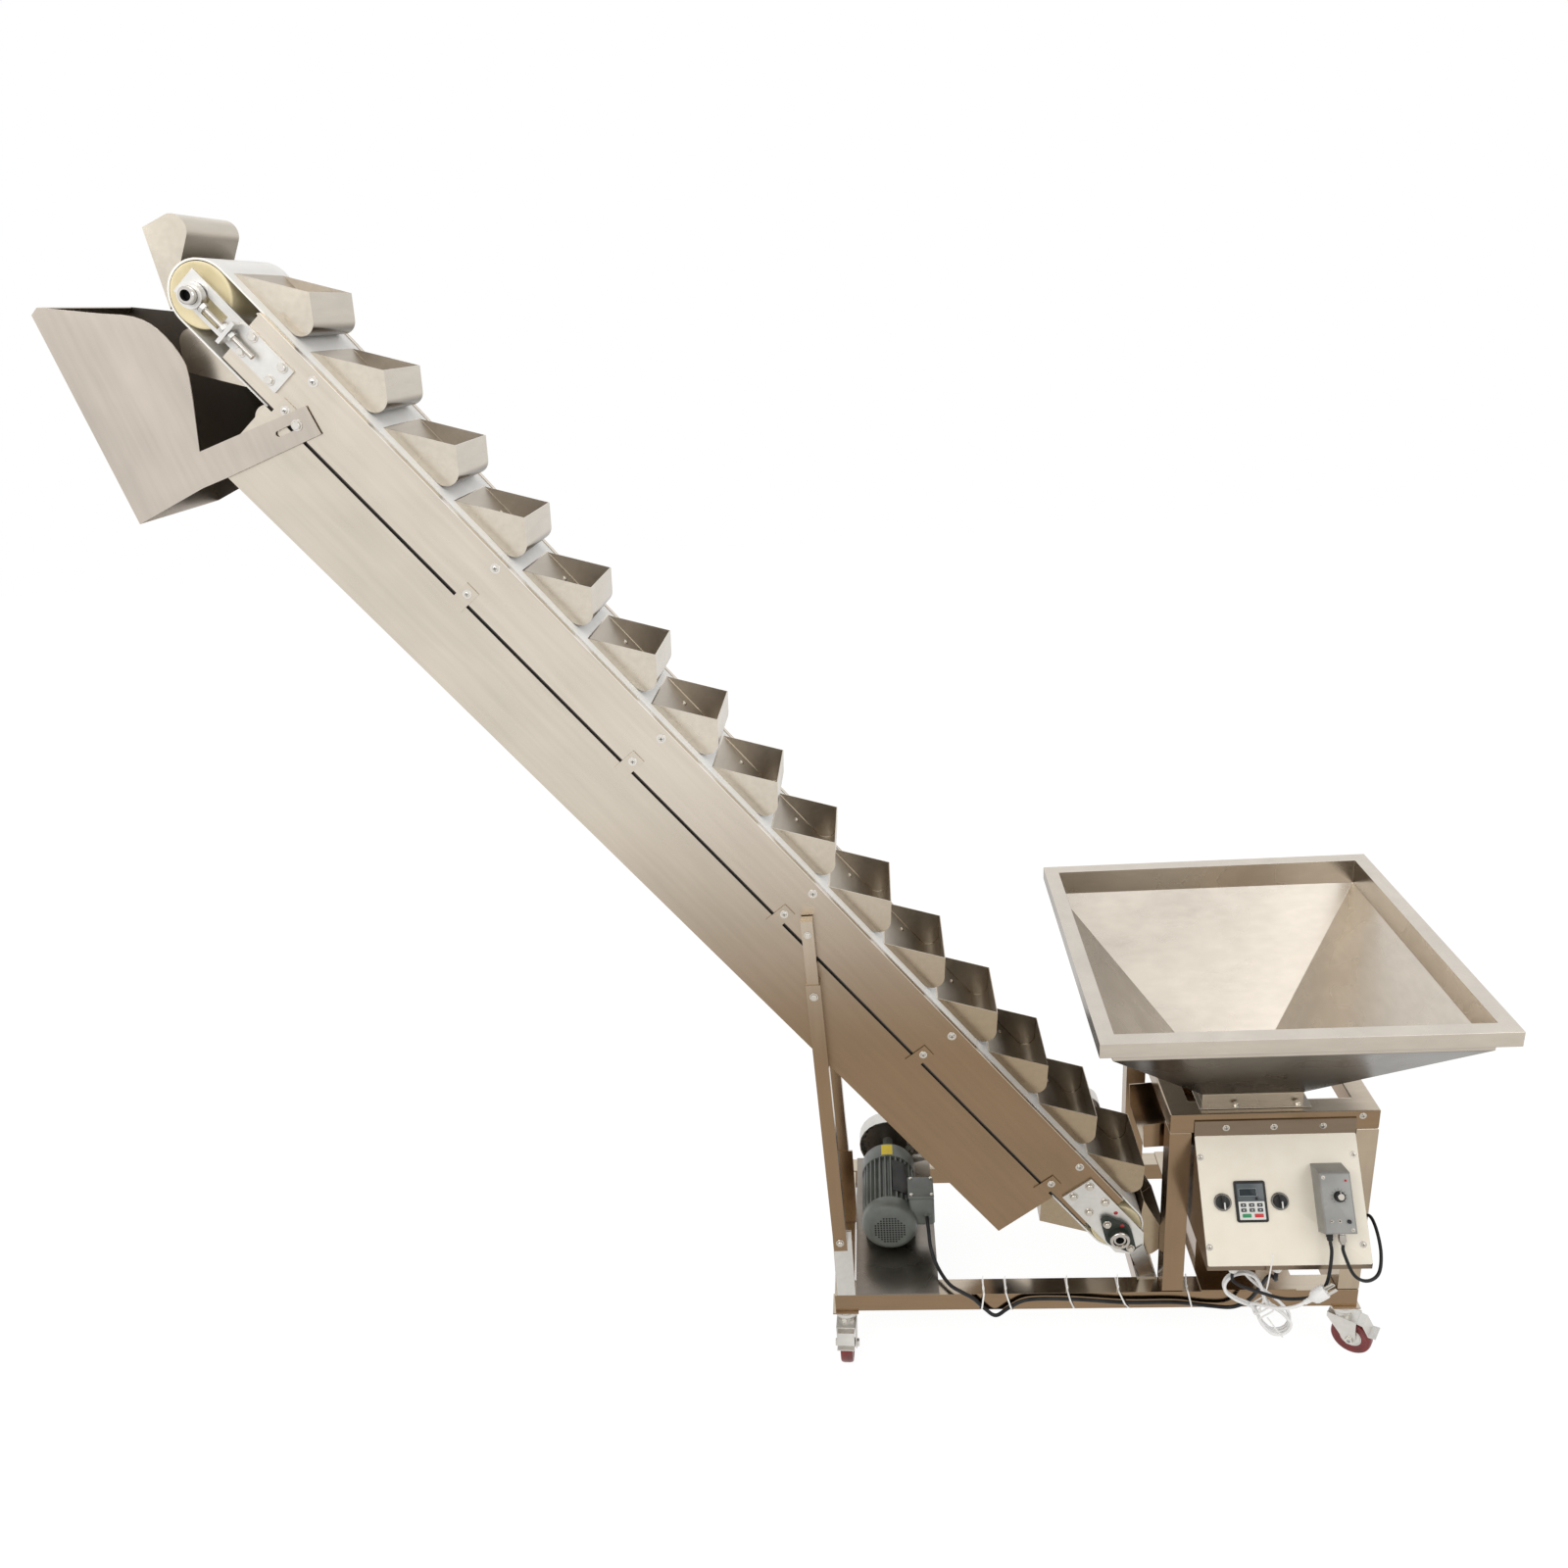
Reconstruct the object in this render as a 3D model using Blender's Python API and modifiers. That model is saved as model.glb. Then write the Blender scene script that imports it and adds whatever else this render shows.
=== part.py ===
"""Inclined bucket elevator on casters, with a feed hopper, a vibrating feeder and a control box.

Metres, +Z up, floor at z = 0. X runs along the machine from the discharge chute at the head
(low X) to the hopper (high X). Y = 0 is the middle of the belt and of the hopper, and the
operator stands on the low-Y side. A second frame belongs to the boom: its X (called s) runs
down the boom from the head shaft and its Z (called t) stands square to the belt, outwards.
"""
import math

import bmesh
import bpy
from mathutils import Matrix, Vector

# General clearances and sheet
SEAT = 0.0003
SHEET = 0.002
RUNNING = 0.0005
SUNK = 0.0005

# Base frame and casters
TUBE = 0.040
BASE_LENGTH = 1.016
BASE_DEPTH = 0.413
BASE_RIGHT = 1.002
BASE_FRONT = -0.122
BASE_BOTTOM = 0.115
MIDDLE_RAIL_LEFT = 0.588
CASTER_PLATE = 0.003
CASTER_PLATE_WIDTH = 0.052
WHEEL_RADIUS = 0.0375
WHEEL_WIDTH = 0.025
WHEEL_HUB_WIDTH = 0.032
CASTER_TRAIL = 0.025
FORK_INNER = 0.035
FORK_SHEET = 0.0025
FORK_GAP = 0.006
AXLE_RADIUS = 0.004
SWIVEL_RADIUS = 0.020
PEDAL_WIDTH = 0.034
PEDAL_REACH = 0.070
PEDAL_SHEET = 0.0022

# Hopper stand
STAND_WIDTH = 0.373
STAND_TOP = 0.575

# Hopper
HOPPER_X = 0.784
HOPPER_SIZE = 0.650
HOPPER_RIM = 0.028
HOPPER_LIP = 0.027
HOPPER_COLLAR = 0.050
HOPPER_CONE = 0.225
OUTLET_SIZE = 0.178
HOPPER_NECK = 0.022
FLANGE_WIDTH = 0.200
FLANGE_HOLE = 0.156
FLANGE_HOLE_DEPTH = 0.116

# Boom and belt
TAIL_X = 0.540
TAIL_Z = 0.307
INCLINE = math.radians(52.2)
SHAFT_SPAN = 2.252
BOOM_WIDTH = 0.240
SIDE_SHEET = 0.003
SIDE_TOP = 0.052
SIDE_BOTTOM = -0.041
SIDE_START = 0.080
SIDE_END = SHAFT_SPAN - 0.052
SIDE_FLANGE = 0.008
PAN_TOP = -0.046
PAN_BOTTOM = -0.176
PAN_START = 0.168
PAN_END = SHAFT_SPAN - 0.142
TAB_COUNT = 6
TAB_FIRST = 0.194
TAB_LAST = SHAFT_SPAN - 0.170
TAB_SIZE = 0.026
TAB_HEAD = -0.014
BED_SHEET = 0.003
BED_BARS = 5
BED_BAR = 0.020
DRUM_RADIUS = 0.0475
DRUM_WIDTH = 0.214
BELT_PLAY = 0.0015
BELT_SHEET = 0.003
BELT_WIDTH = 0.210
SHAFT_RADIUS = 0.0125
SHAFT_BORE = 0.008
SHAFT_END = 0.152

# Buckets
BUCKET_PITCH = 0.1495
BUCKET_FIRST = -0.1005
BUCKET_FREE = range(2, 12)
BUCKET_CLEARANCE = 0.0015
BUCKET_SHEET = 0.0015
BUCKET_HANG = 0.044
BUCKET_MOUTH = (0.095, 0.0655)
BUCKET_BACK = 0.133
BUCKET_NOSE = 0.022
BUCKET_HEEL = -52

# Head take-up
TAKE_UP_LOW = -0.026
TAKE_UP_HIGH = 0.168
TAKE_UP_WIDTH = 0.046
TAKE_UP_SHEET = 0.004
TAKE_UP_SLOT = 0.052
TAKE_UP_LUG = 0.066
TAKE_UP_SCREW = 0.004

# Tail bracket and bearing
TAIL_SHEET = 0.004
TAIL_HEAD = -0.133
TAIL_BEND = 0.056
BEARING_RADIUS = 0.026
BEARING_BOLTS = 0.0734
BEARING_DEPTH = 0.020
BEARING_FLANGE = 0.010
BEARING_EAR = 0.0105
BEARING_BOSS = 0.0195
STRAP_ANGLE = math.radians(22.8)
FOOT_WIDTH = 0.038
FOOT_DEPTH = 0.030
FOOT_SHEET = 0.003

# Struts
STRUT_TUBE = 0.026
STRUT_BAR = 0.021
STRUT_TOP_X = -0.010
STRUT_FOOT_X = 0.007
STRUT_TOP = 1.016
STRUT_JOINT = 0.890
STRUT_FOOT = 0.292
STRAP_SHEET = 0.003
STRAP_TOP = 0.318
STRAP_LEFT = -0.009

# Drive
MOTOR_X = 0.102
SHAFT_HEIGHT = 0.0637
MOTOR_RADIUS = 0.0575
MOTOR_FRONT = -0.015
MOTOR_LENGTH = 0.220
MOTOR_PLATE_LEFT = 0.029
MOTOR_PLATE_WIDTH = 0.166
MOTOR_PLATE_SHEET = 0.003
MOTOR_FINS = 28
CHAIN_Y = 0.272
CHAIN_WIDTH = 0.010
CHAIN_THICK = 0.005
MOTOR_SPROCKET = 0.046
TAIL_SPROCKET = 0.024
GUARD_PLAY = 0.0055
GUARD_SHEET = 0.0015
GUARD_DEPTH = 0.036

# Discharge chute
CHUTE_SHEET = 0.002
CHUTE_OUTLINE = [
    (-0.2587, -0.0074), (-0.1787, -0.3234), (-0.0617, -0.2754), (-0.0117, -0.2604), (0.1463, -0.2084),
    (0.1313, -0.1654), (-0.0517, -0.2204),
]
CHUTE_CURVE = [(-0.0397, -0.1134), (-0.0457, -0.0774), (-0.0697, -0.0414), (-0.1027, -0.0214), (-0.1577, -0.0124)]
CHUTE_CORNER = (-0.2467, 0.0026)
CHUTE_SLOT = ((0.0793, -0.2034), (0.1133, -0.1924))
CHUTE_SLOT_RADIUS = 0.0045

# Control box, on the front of the stand
BOX_GAP = 0.004
BOX_TOP = 0.531
BOX_BOTTOM = 0.333
BOX_LIP = 0.346
BOX_REACH = 0.130
BOX_REAR = 0.037
BOX_FLANGE_TOP = 0.562
LID_SHEET = 0.002
KNOB_RADIUS = 0.0125
KNOB_HEIGHT = 0.013
BEZEL_RADIUS = 0.0155
BEZEL_HEIGHT = 0.004
DIAL_RADIUS = 0.0095
DIAL_HEIGHT = 0.013
GLAND_RADIUS = 0.011
GLAND_LENGTH = 0.024
GLANDS = [(0.725, -0.230), (0.803, -0.230), (0.748, -0.203)]
SWITCHES = [0.710, 0.811]
SWITCH_DOWN = -0.117
KEYPAD_LEFT = 0.732
KEYPAD_WIDTH = 0.056
KEYPAD_LOW = -0.1525
KEYPAD_HEIGHT = 0.072
KEYPAD_THICK = 0.004
CONTROLLER_X = 0.899
CONTROLLER_WIDTH = 0.054
CONTROLLER_HIGH = -0.0525
CONTROLLER_LOW = -0.170
CONTROLLER_HEIGHT = 0.042
DIAL_X = 0.902
DIAL_DOWN = -0.1065
GRIP_X = 0.884
GRIP_LENGTH = 0.014
CONNECTOR_X = 0.905
PLUG_LENGTH = 0.020

# Vibrating feeder
TRAY_WIDTH = 0.130
TRAY_TOP = 0.526
TRAY_DEPTH = 0.052
TRAY_LIP = 0.594
TRAY_END = 0.895
TRAY_SLOPE = math.radians(3.0)
DRIVE_X = 0.770
DECK_LEFT = 0.705
DECK_WIDTH = 0.180

# Cords
MOTOR_CABLE = 0.0075
MAINS_CORD = 0.006
THIN_CORD = 0.006

HANK_Y = -0.206
HANK_DEPTH = 0.036
HANK_HIGH_RADIUS = 0.034
HANK_LOW_RADIUS = 0.022

BASE_LEFT = BASE_RIGHT - BASE_LENGTH
BASE_REAR = BASE_FRONT + BASE_DEPTH
BASE_TOP = BASE_BOTTOM + TUBE
STAND_LEFT = BASE_RIGHT - STAND_WIDTH
HEAD_X = TAIL_X - SHAFT_SPAN * math.cos(INCLINE)
HEAD_Z = TAIL_Z + SHAFT_SPAN * math.sin(INCLINE)
BOOM_HALF = BOOM_WIDTH / 2
BELT_INNER = DRUM_RADIUS + BELT_PLAY
BELT_OUTER = BELT_INNER + BELT_SHEET
BELT_BEND = BELT_INNER + BELT_SHEET / 2
BELT_LENGTH = 2 * (SHAFT_SPAN + math.pi * BELT_BEND)
BUCKET_COUNT = int(BELT_LENGTH / BUCKET_PITCH)
BUCKET_LEADING = BUCKET_COUNT * 3 // 4
BOX_LEFT = STAND_LEFT + TUBE + BOX_GAP
BOX_RIGHT = BASE_RIGHT - TUBE - BOX_GAP
BOX_FACE_ANGLE = math.atan2(BOX_REACH, BOX_TOP - BOX_LIP)


def clear_scene():
    """Remove whatever objects the file opened with."""
    for old in list(bpy.data.objects):
        bpy.data.objects.remove(old, do_unlink=True)


def collection(name):
    """A new collection in the scene."""
    made = bpy.data.collections.new(name)
    bpy.context.scene.collection.children.link(made)
    return made


def material(name, colour, roughness, metallic):
    """A Principled material."""
    made = bpy.data.materials.new(name)
    made.use_nodes = True
    shader = made.node_tree.nodes["Principled BSDF"]
    shader.inputs["Base Color"].default_value = (*colour, 1.0)
    shader.inputs["Roughness"].default_value = roughness
    shader.inputs["Metallic"].default_value = metallic
    return made


clear_scene()
PARTS = collection("bucket_elevator")
CUTTERS = collection("bucket_elevator_cutters")
STAINLESS = material("stainless", (0.60, 0.56, 0.51), 0.32, 1.0)
ZINC = material("zinc_plate", (0.72, 0.73, 0.73), 0.30, 1.0)
PANEL_SHEET = material("panel_sheet", (0.84, 0.80, 0.72), 0.45, 0.3)
RUBBER_WHITE = material("white_belt", (0.90, 0.89, 0.86), 0.55, 0.0)
CREAM = material("cream_pulley", (0.86, 0.76, 0.48), 0.50, 0.0)
GREY_PAINT = material("motor_grey", (0.19, 0.21, 0.19), 0.45, 0.0)
GREY_BOX = material("controller_grey", (0.30, 0.32, 0.34), 0.40, 0.0)
BLACK = material("black_plastic", (0.02, 0.02, 0.02), 0.40, 0.0)
CAST_BLACK = material("cast_black", (0.03, 0.04, 0.035), 0.55, 0.3)
RED_TYRE = material("red_tyre", (0.33, 0.05, 0.05), 0.40, 0.0)
WHITE_CORD = material("white_cord", (0.88, 0.88, 0.87), 0.45, 0.0)


def place(name, mesh, finish, parent=None, location=(0, 0, 0), rotation=(0, 0, 0)):
    """A named object in the parts collection."""
    made = bpy.data.objects.new(name, mesh)
    if finish is not None and not mesh.materials:
        mesh.materials.append(finish)
    made.parent = parent
    made.location = location
    made.rotation_euler = rotation
    PARTS.objects.link(made)
    return made


def empty(name, location, rotation=(0, 0, 0), parent=None):
    """An axis marker that carries moving or slanted pieces."""
    made = bpy.data.objects.new(name, None)
    made.location = location
    made.rotation_euler = rotation
    made.parent = parent
    CUTTERS.objects.link(made)
    return made


def box(name, low, high, finish=None, parent=None, rotation=(0, 0, 0)):
    """A block between two corners, with its origin at its middle."""
    mesh = bpy.data.meshes.new(name)
    shape = bmesh.new()
    bmesh.ops.create_cube(shape, size=1.0)
    size = [top - bottom for bottom, top in zip(low, high)]
    bmesh.ops.scale(shape, vec=size, verts=shape.verts)
    shape.to_mesh(mesh)
    shape.free()
    middle = [(top + bottom) / 2 for bottom, top in zip(low, high)]
    return place(name, mesh, finish, parent, middle, rotation)


def rod(name, radius, start, end, finish=None, parent=None, sides=24):
    """A round bar between two points."""
    start = Vector(start)
    run = Vector(end) - start
    mesh = bpy.data.meshes.new(name)
    shape = bmesh.new()
    bmesh.ops.create_cone(
        shape, cap_ends=True, segments=sides, radius1=radius, radius2=radius, depth=run.length)
    shape.to_mesh(mesh)
    shape.free()
    mesh.set_sharp_from_angle(angle=math.radians(40))
    turn = run.to_track_quat("Z", "Y").to_euler()
    return place(name, mesh, finish, parent, start + run / 2, turn)


def flat(name, outlines, low, high, plane, finish=None, parent=None):
    """A flat outline, with inner outlines as holes, made thick from low to high.

    The outline lies in the named plane and the thickness runs along the third axis.
    """
    curve = bpy.data.curves.new(name, "CURVE")
    curve.dimensions = "2D"
    curve.fill_mode = "BOTH"
    curve.extrude = (high - low) / 2
    for outline in outlines:
        spline = curve.splines.new("POLY")
        spline.points.add(len(outline) - 1)
        for point, (across, up) in zip(spline.points, outline):
            point.co = (across, up, 0, 1)
        spline.use_cyclic_u = True
    drawn = bpy.data.objects.new(name, curve)
    PARTS.objects.link(drawn)
    mesh = bpy.data.meshes.new_from_object(drawn.evaluated_get(bpy.context.evaluated_depsgraph_get()))
    bpy.data.objects.remove(drawn, do_unlink=True)
    middle = (low + high) / 2
    turns = {
        "XY": Matrix.Translation((0, 0, middle)),
        "XZ": Matrix.Translation((0, middle, 0)) @ Matrix.Rotation(math.pi / 2, 4, "X"),
        "YZ": Matrix.Translation((middle, 0, 0)) @ Matrix(((0, 0, 1, 0), (1, 0, 0, 0), (0, 1, 0, 0), (0, 0, 0, 1))),
    }
    mesh.transform(turns[plane])
    weld_mesh(mesh)
    mesh.name = name
    return place(name, mesh, finish, parent)


def weld_mesh(mesh):
    """Join the doubled points that a curve's caps leave."""
    shape = bmesh.new()
    shape.from_mesh(mesh)
    bmesh.ops.remove_doubles(shape, verts=shape.verts, dist=0.00001)
    bmesh.ops.recalc_face_normals(shape, faces=shape.faces)
    shape.to_mesh(mesh)
    shape.free()


def turned(name, profile, steps, finish=None, parent=None, location=(0, 0, 0), rotation=(0, 0, 0)):
    """A profile of (radius, height) points, top to bottom on its outer side, turned about Z."""
    mesh = bpy.data.meshes.new(name)
    points = [(radius, 0, height) for radius, height in profile]
    closed = profile[0][0] > 0
    edges = [(n, n + 1) for n in range(len(points) - 1)]
    if closed:
        edges.append((len(points) - 1, 0))
    mesh.from_pydata(points, edges, [])
    made = place(name, mesh, finish, parent, location, rotation)
    screw = made.modifiers.new("turn", "SCREW")
    screw.axis = "Z"
    screw.steps = steps
    screw.render_steps = steps
    screw.use_merge_vertices = True
    screw.merge_threshold = 0.00001
    screw.use_smooth_shade = steps > 8
    return made


def combine(target, pieces, operation):
    """Boolean the pieces into the target and keep them as cutters."""
    for piece in pieces:
        PARTS.objects.unlink(piece)
        CUTTERS.objects.link(piece)
        piece.hide_render = True
        piece.display_type = "WIRE"
        step = target.modifiers.new(operation.lower(), "BOOLEAN")
        step.operation = operation
        step.solver = "EXACT"
        step.object = piece
    return target


def weld(target, *pieces):
    """Join pieces to the target as one solid."""
    return combine(target, pieces, "UNION")


def cut(target, *pieces):
    """Cut pieces out of the target."""
    return combine(target, pieces, "DIFFERENCE")


def arc(centre, radius, start, end, steps):
    """Points on an arc, angles in degrees."""
    angles = [math.radians(start + (end - start) * n / steps) for n in range(steps + 1)]
    return [(centre[0] + radius * math.cos(a), centre[1] + radius * math.sin(a)) for a in angles]


def stadium(start, end, radius_start, radius_end, steps):
    """The outline of an open belt round two circles."""
    run = math.hypot(end[0] - start[0], end[1] - start[1])
    heading = math.degrees(math.atan2(end[1] - start[1], end[0] - start[0]))
    lean = math.degrees(math.asin((radius_start - radius_end) / run))
    far = arc(end, radius_end, heading - 90 + lean, heading + 90 - lean, steps)
    near = arc(start, radius_start, heading + 90 - lean, heading + 270 + lean, steps)
    return far + near


def strip(path, thick):
    """The outline of a bent sheet that follows a path, thick to its left-hand side."""
    offset = []
    for n, point in enumerate(path):
        before = Vector(point) - Vector(path[n - 1]) if n > 0 else None
        after = Vector(path[n + 1]) - Vector(point) if n < len(path) - 1 else None
        first = (before or after).normalized()
        second = (after or before).normalized()
        normal = Vector((-first.y - second.y, first.x + second.x)).normalized()
        side = Vector((-first.y, first.x))
        reach = thick / normal.dot(side)
        offset.append((point[0] + normal.x * reach, point[1] + normal.y * reach))
    return list(path) + offset[::-1]


def tangent_point(outside, centre, radius):
    """Where the line from a point touches a circle, on the side away from the belt."""
    run = Vector(centre) - Vector(outside)
    length = run.length
    lean = math.asin(radius / length)
    reach = math.sqrt(length * length - radius * radius)
    heading = math.atan2(run.y, run.x) + lean
    return (outside[0] + reach * math.cos(heading), outside[1] + reach * math.sin(heading))


def cord(name, route, diameter, finish, smooth=6, resolution=2):
    """A cord along a smooth curve through its route's own points, with square ends."""
    points = [Vector(p) for p in route]
    ends = [points[0] * 2 - points[1]] + points + [points[-1] * 2 - points[-2]]
    path = []
    for n in range(1, len(ends) - 2):
        a, b, c, d = ends[n - 1], ends[n], ends[n + 1], ends[n + 2]
        for k in range(smooth):
            u = k / smooth
            path.append(0.5 * (2 * b + (c - a) * u + (2 * a - 5 * b + 4 * c - d) * u * u
                               + (3 * b - a - 3 * c + d) * u * u * u))
    path.append(points[-1])
    path.insert(1, points[0] + (points[1] - points[0]).normalized() * diameter / 3)
    path.insert(-1, points[-1] + (points[-2] - points[-1]).normalized() * diameter / 3)
    curve = bpy.data.curves.new(name, "CURVE")
    curve.dimensions = "3D"
    curve.bevel_depth = diameter / 2
    curve.bevel_resolution = resolution
    curve.use_fill_caps = True
    spline = curve.splines.new("POLY")
    spline.points.add(len(path) - 1)
    for point, where in zip(spline.points, path):
        point.co = (*where, 1)
    curve.materials.append(finish)
    made = bpy.data.objects.new(name, curve)
    PARTS.objects.link(made)
    return made


# Base frame: two long rails with the caster plates, and three cross rails
def long_rail(name, low_y):
    """A long base rail with a caster plate under each end."""
    rail = box(name, (BASE_LEFT, low_y, BASE_BOTTOM), (BASE_RIGHT, low_y + TUBE, BASE_TOP), STAINLESS)
    half = CASTER_PLATE_WIDTH / 2
    plates = []
    for x in (BASE_LEFT + TUBE / 2, BASE_RIGHT - TUBE / 2):
        y = low_y + TUBE / 2
        low = BASE_BOTTOM - CASTER_PLATE
        plates.append(box(name + "_plate", (x - half, y - half, low), (x + half, y + half, BASE_BOTTOM - SEAT)))
        weld_half = TUBE / 2 - 0.001
        plates.append(box(
            name + "_weld", (x - weld_half, y - weld_half, low + CASTER_PLATE / 2),
            (x + weld_half, y + weld_half, BASE_BOTTOM + SUNK)))
    return weld(rail, *plates)


def cross_rail(name, left):
    """A cross rail between the long rails."""
    low = (left, BASE_FRONT + TUBE + SEAT, BASE_BOTTOM)
    high = (left + TUBE, BASE_REAR - TUBE - SEAT, BASE_TOP)
    return box(name, low, high, STAINLESS)


long_rail("base_rail_front", BASE_FRONT)
long_rail("base_rail_rear", BASE_REAR - TUBE)
cross_rail("base_cross_left", BASE_LEFT)
cross_rail("base_cross_middle", MIDDLE_RAIL_LEFT)
cross_rail("base_cross_right", BASE_RIGHT - TUBE)


# Hopper stand: four posts and a ring of top rails
def post(name, left, low_y):
    """A stand post between the base rail and the top ring."""
    low = (left, low_y, BASE_TOP + SEAT)
    high = (left + TUBE, low_y + TUBE, STAND_TOP - TUBE - SEAT)
    return box(name, low, high, STAINLESS)


def rectangle(left, right, low, high):
    """A rectangular outline."""
    return [(left, low), (right, low), (right, high), (left, high)]


post("stand_post_front_left", STAND_LEFT, BASE_FRONT)
post("stand_post_front_right", BASE_RIGHT - TUBE, BASE_FRONT)
post("stand_post_rear_left", STAND_LEFT, BASE_REAR - TUBE)
post("stand_post_rear_right", BASE_RIGHT - TUBE, BASE_REAR - TUBE)
flat(
    "stand_top_frame",
    [
        rectangle(STAND_LEFT, BASE_RIGHT, BASE_FRONT, BASE_REAR),
        rectangle(STAND_LEFT + TUBE, BASE_RIGHT - TUBE, BASE_FRONT + TUBE, BASE_REAR - TUBE),
    ],
    STAND_TOP - TUBE, STAND_TOP, "XY", STAINLESS)


# Casters: each fork turns under its plate and each wheel turns on its axle
def caster(label, x, y, heading):
    """A swivel caster with its trail pointing along the heading."""
    axis = empty("caster_axis_" + label, (x, y, 0), (0, 0, heading))
    top = BASE_BOTTOM - CASTER_PLATE - SEAT
    bridge_low = WHEEL_RADIUS * 2 + FORK_GAP
    bridge_top = bridge_low + 0.004
    back = -SWIVEL_RADIUS
    front = CASTER_TRAIL + 0.009
    outer = FORK_INNER / 2 + FORK_SHEET
    web = outer - FORK_SHEET / 2
    fork = box(
        "caster_fork_" + label, (back + SUNK, -web, bridge_low), (front - SUNK, web, bridge_top - SUNK), ZINC, axis)
    cheek = [(back, bridge_top), (back, bridge_low - 0.006)]
    cheek += arc((CASTER_TRAIL, WHEEL_RADIUS), 0.011, 200, 350, 5)
    cheek += [(front, bridge_low - 0.010), (front, bridge_top)]
    cheeks = [
        flat("cheek", [cheek], side * outer - (FORK_SHEET if side > 0 else 0),
             side * outer + (FORK_SHEET if side < 0 else 0), "XZ", None, axis)
        for side in (-1, 1)
    ]
    axle = rod(
        "axle", AXLE_RADIUS, (CASTER_TRAIL, -outer - 0.004, WHEEL_RADIUS), (CASTER_TRAIL, outer + 0.004, WHEEL_RADIUS),
        None, axis, 10)
    head = turned(
        "swivel_head",
        [(0, top), (SWIVEL_RADIUS + 0.002, top), (SWIVEL_RADIUS + 0.004, top - 0.005), (SWIVEL_RADIUS - 0.002, top - 0.009),
         (SWIVEL_RADIUS + 0.001, top - 0.016), (SWIVEL_RADIUS - 0.001, bridge_top - 3 * SUNK),
         (0, bridge_top - 3 * SUNK)],
        14, None, axis)
    pedal_path = [
        (front - 0.012, bridge_top - 0.0012), (front + 0.012, bridge_top - 0.003), (PEDAL_REACH - 0.012, 0.062),
        (PEDAL_REACH, 0.064),
    ]
    pedal = flat(
        "pedal", [strip(pedal_path, -PEDAL_SHEET)], -PEDAL_WIDTH / 2, PEDAL_WIDTH / 2, "XZ", None, axis)
    weld(fork, head, *cheeks, axle, pedal)
    hub = WHEEL_HUB_WIDTH / 2
    face = WHEEL_WIDTH / 2
    bore = AXLE_RADIUS + RUNNING
    tread = WHEEL_RADIUS
    profile = [
        (bore, hub), (0.010, hub), (0.011, face - 0.003), (tread - 0.010, face - 0.003), (tread - 0.008, face),
        (tread - 0.003, face), (tread, face - 0.004), (tread, -face + 0.004), (tread - 0.003, -face),
        (tread - 0.008, -face), (tread - 0.010, -face + 0.003), (0.011, -face + 0.003), (0.010, -hub), (bore, -hub),
    ]
    turned(
        "caster_wheel_" + label, profile, 20, RED_TYRE, axis, (CASTER_TRAIL, 0, WHEEL_RADIUS),
        (math.pi / 2, 0, 0))


CASTER_LEFT = BASE_LEFT + TUBE / 2
CASTER_RIGHT = BASE_RIGHT - TUBE / 2
CASTER_FRONT = BASE_FRONT + TUBE / 2
CASTER_REAR = BASE_REAR - TUBE / 2
caster("front_left", CASTER_LEFT, CASTER_FRONT, math.radians(-92))
caster("front_right", CASTER_RIGHT, CASTER_FRONT, math.radians(-35))
caster("rear_left", CASTER_LEFT, CASTER_REAR, math.radians(-80))
caster("rear_right", CASTER_RIGHT, CASTER_REAR, math.radians(-60))


# Hopper: sheet folded to a square, with a hollow rim, a cone, a neck and a seat flange
def hopper():
    """A square hopper, drawn as a profile turned in four steps."""
    half = HOPPER_SIZE / 2
    inner = half - HOPPER_RIM
    throat = OUTLET_SIZE / 2
    cone_low = STAND_TOP + HOPPER_NECK
    cone_top = cone_low + HOPPER_CONE
    top = cone_top + HOPPER_COLLAR
    neck_low = STAND_TOP + SEAT + SHEET / 2
    path = [
        (half, top - HOPPER_LIP), (half, top), (inner, top), (inner, cone_top), (throat, cone_low),
        (throat, neck_low),
    ]
    corner = math.sqrt(2)
    section = [(radius * corner, height) for radius, height in strip(path, SHEET)]
    body = turned("hopper", section[::-1], 4, STAINLESS, None, (HOPPER_X, 0, 0), (0, 0, math.pi / 4))
    flange = flat(
        "hopper_flange",
        [
            rectangle(-FLANGE_WIDTH / 2, FLANGE_WIDTH / 2, BASE_FRONT + TUBE / 3, BASE_REAR - TUBE / 3),
            rectangle(-FLANGE_HOLE / 2, FLANGE_HOLE / 2, -FLANGE_HOLE_DEPTH / 2, FLANGE_HOLE_DEPTH / 2),
        ],
        STAND_TOP + SEAT, STAND_TOP + SEAT + SHEET, "XY", None, None)
    flange.location.x = HOPPER_X
    return weld(body, flange)


hopper()


# Boom: everything below hangs on this slanted frame at the head shaft
BOOM = empty("boom_frame", (HEAD_X, 0, HEAD_Z), (0, INCLINE, 0))
TAIL = empty("tail_frame", (TAIL_X, 0, TAIL_Z), (0, INCLINE, 0))


def boom_side(name, side):
    """A side sheet with its top edge folded inwards."""
    outer = side * BOOM_HALF
    inner = side * (BOOM_HALF - SIDE_SHEET)
    lip = side * (BOOM_HALF - SIDE_SHEET - SIDE_FLANGE)
    section = [
        (outer, SIDE_BOTTOM), (outer, SIDE_TOP), (lip, SIDE_TOP), (lip, SIDE_TOP - SHEET), (inner, SIDE_TOP - SHEET),
        (inner, SIDE_BOTTOM),
    ]
    return flat(name, [section], SIDE_START, SIDE_END, "YZ", STAINLESS, BOOM)


def side_band(side, inner, outer):
    """The low and high Y of a sheet that lies between two distances from the middle, on one side."""
    return tuple(sorted((side * inner, side * outer)))


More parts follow.
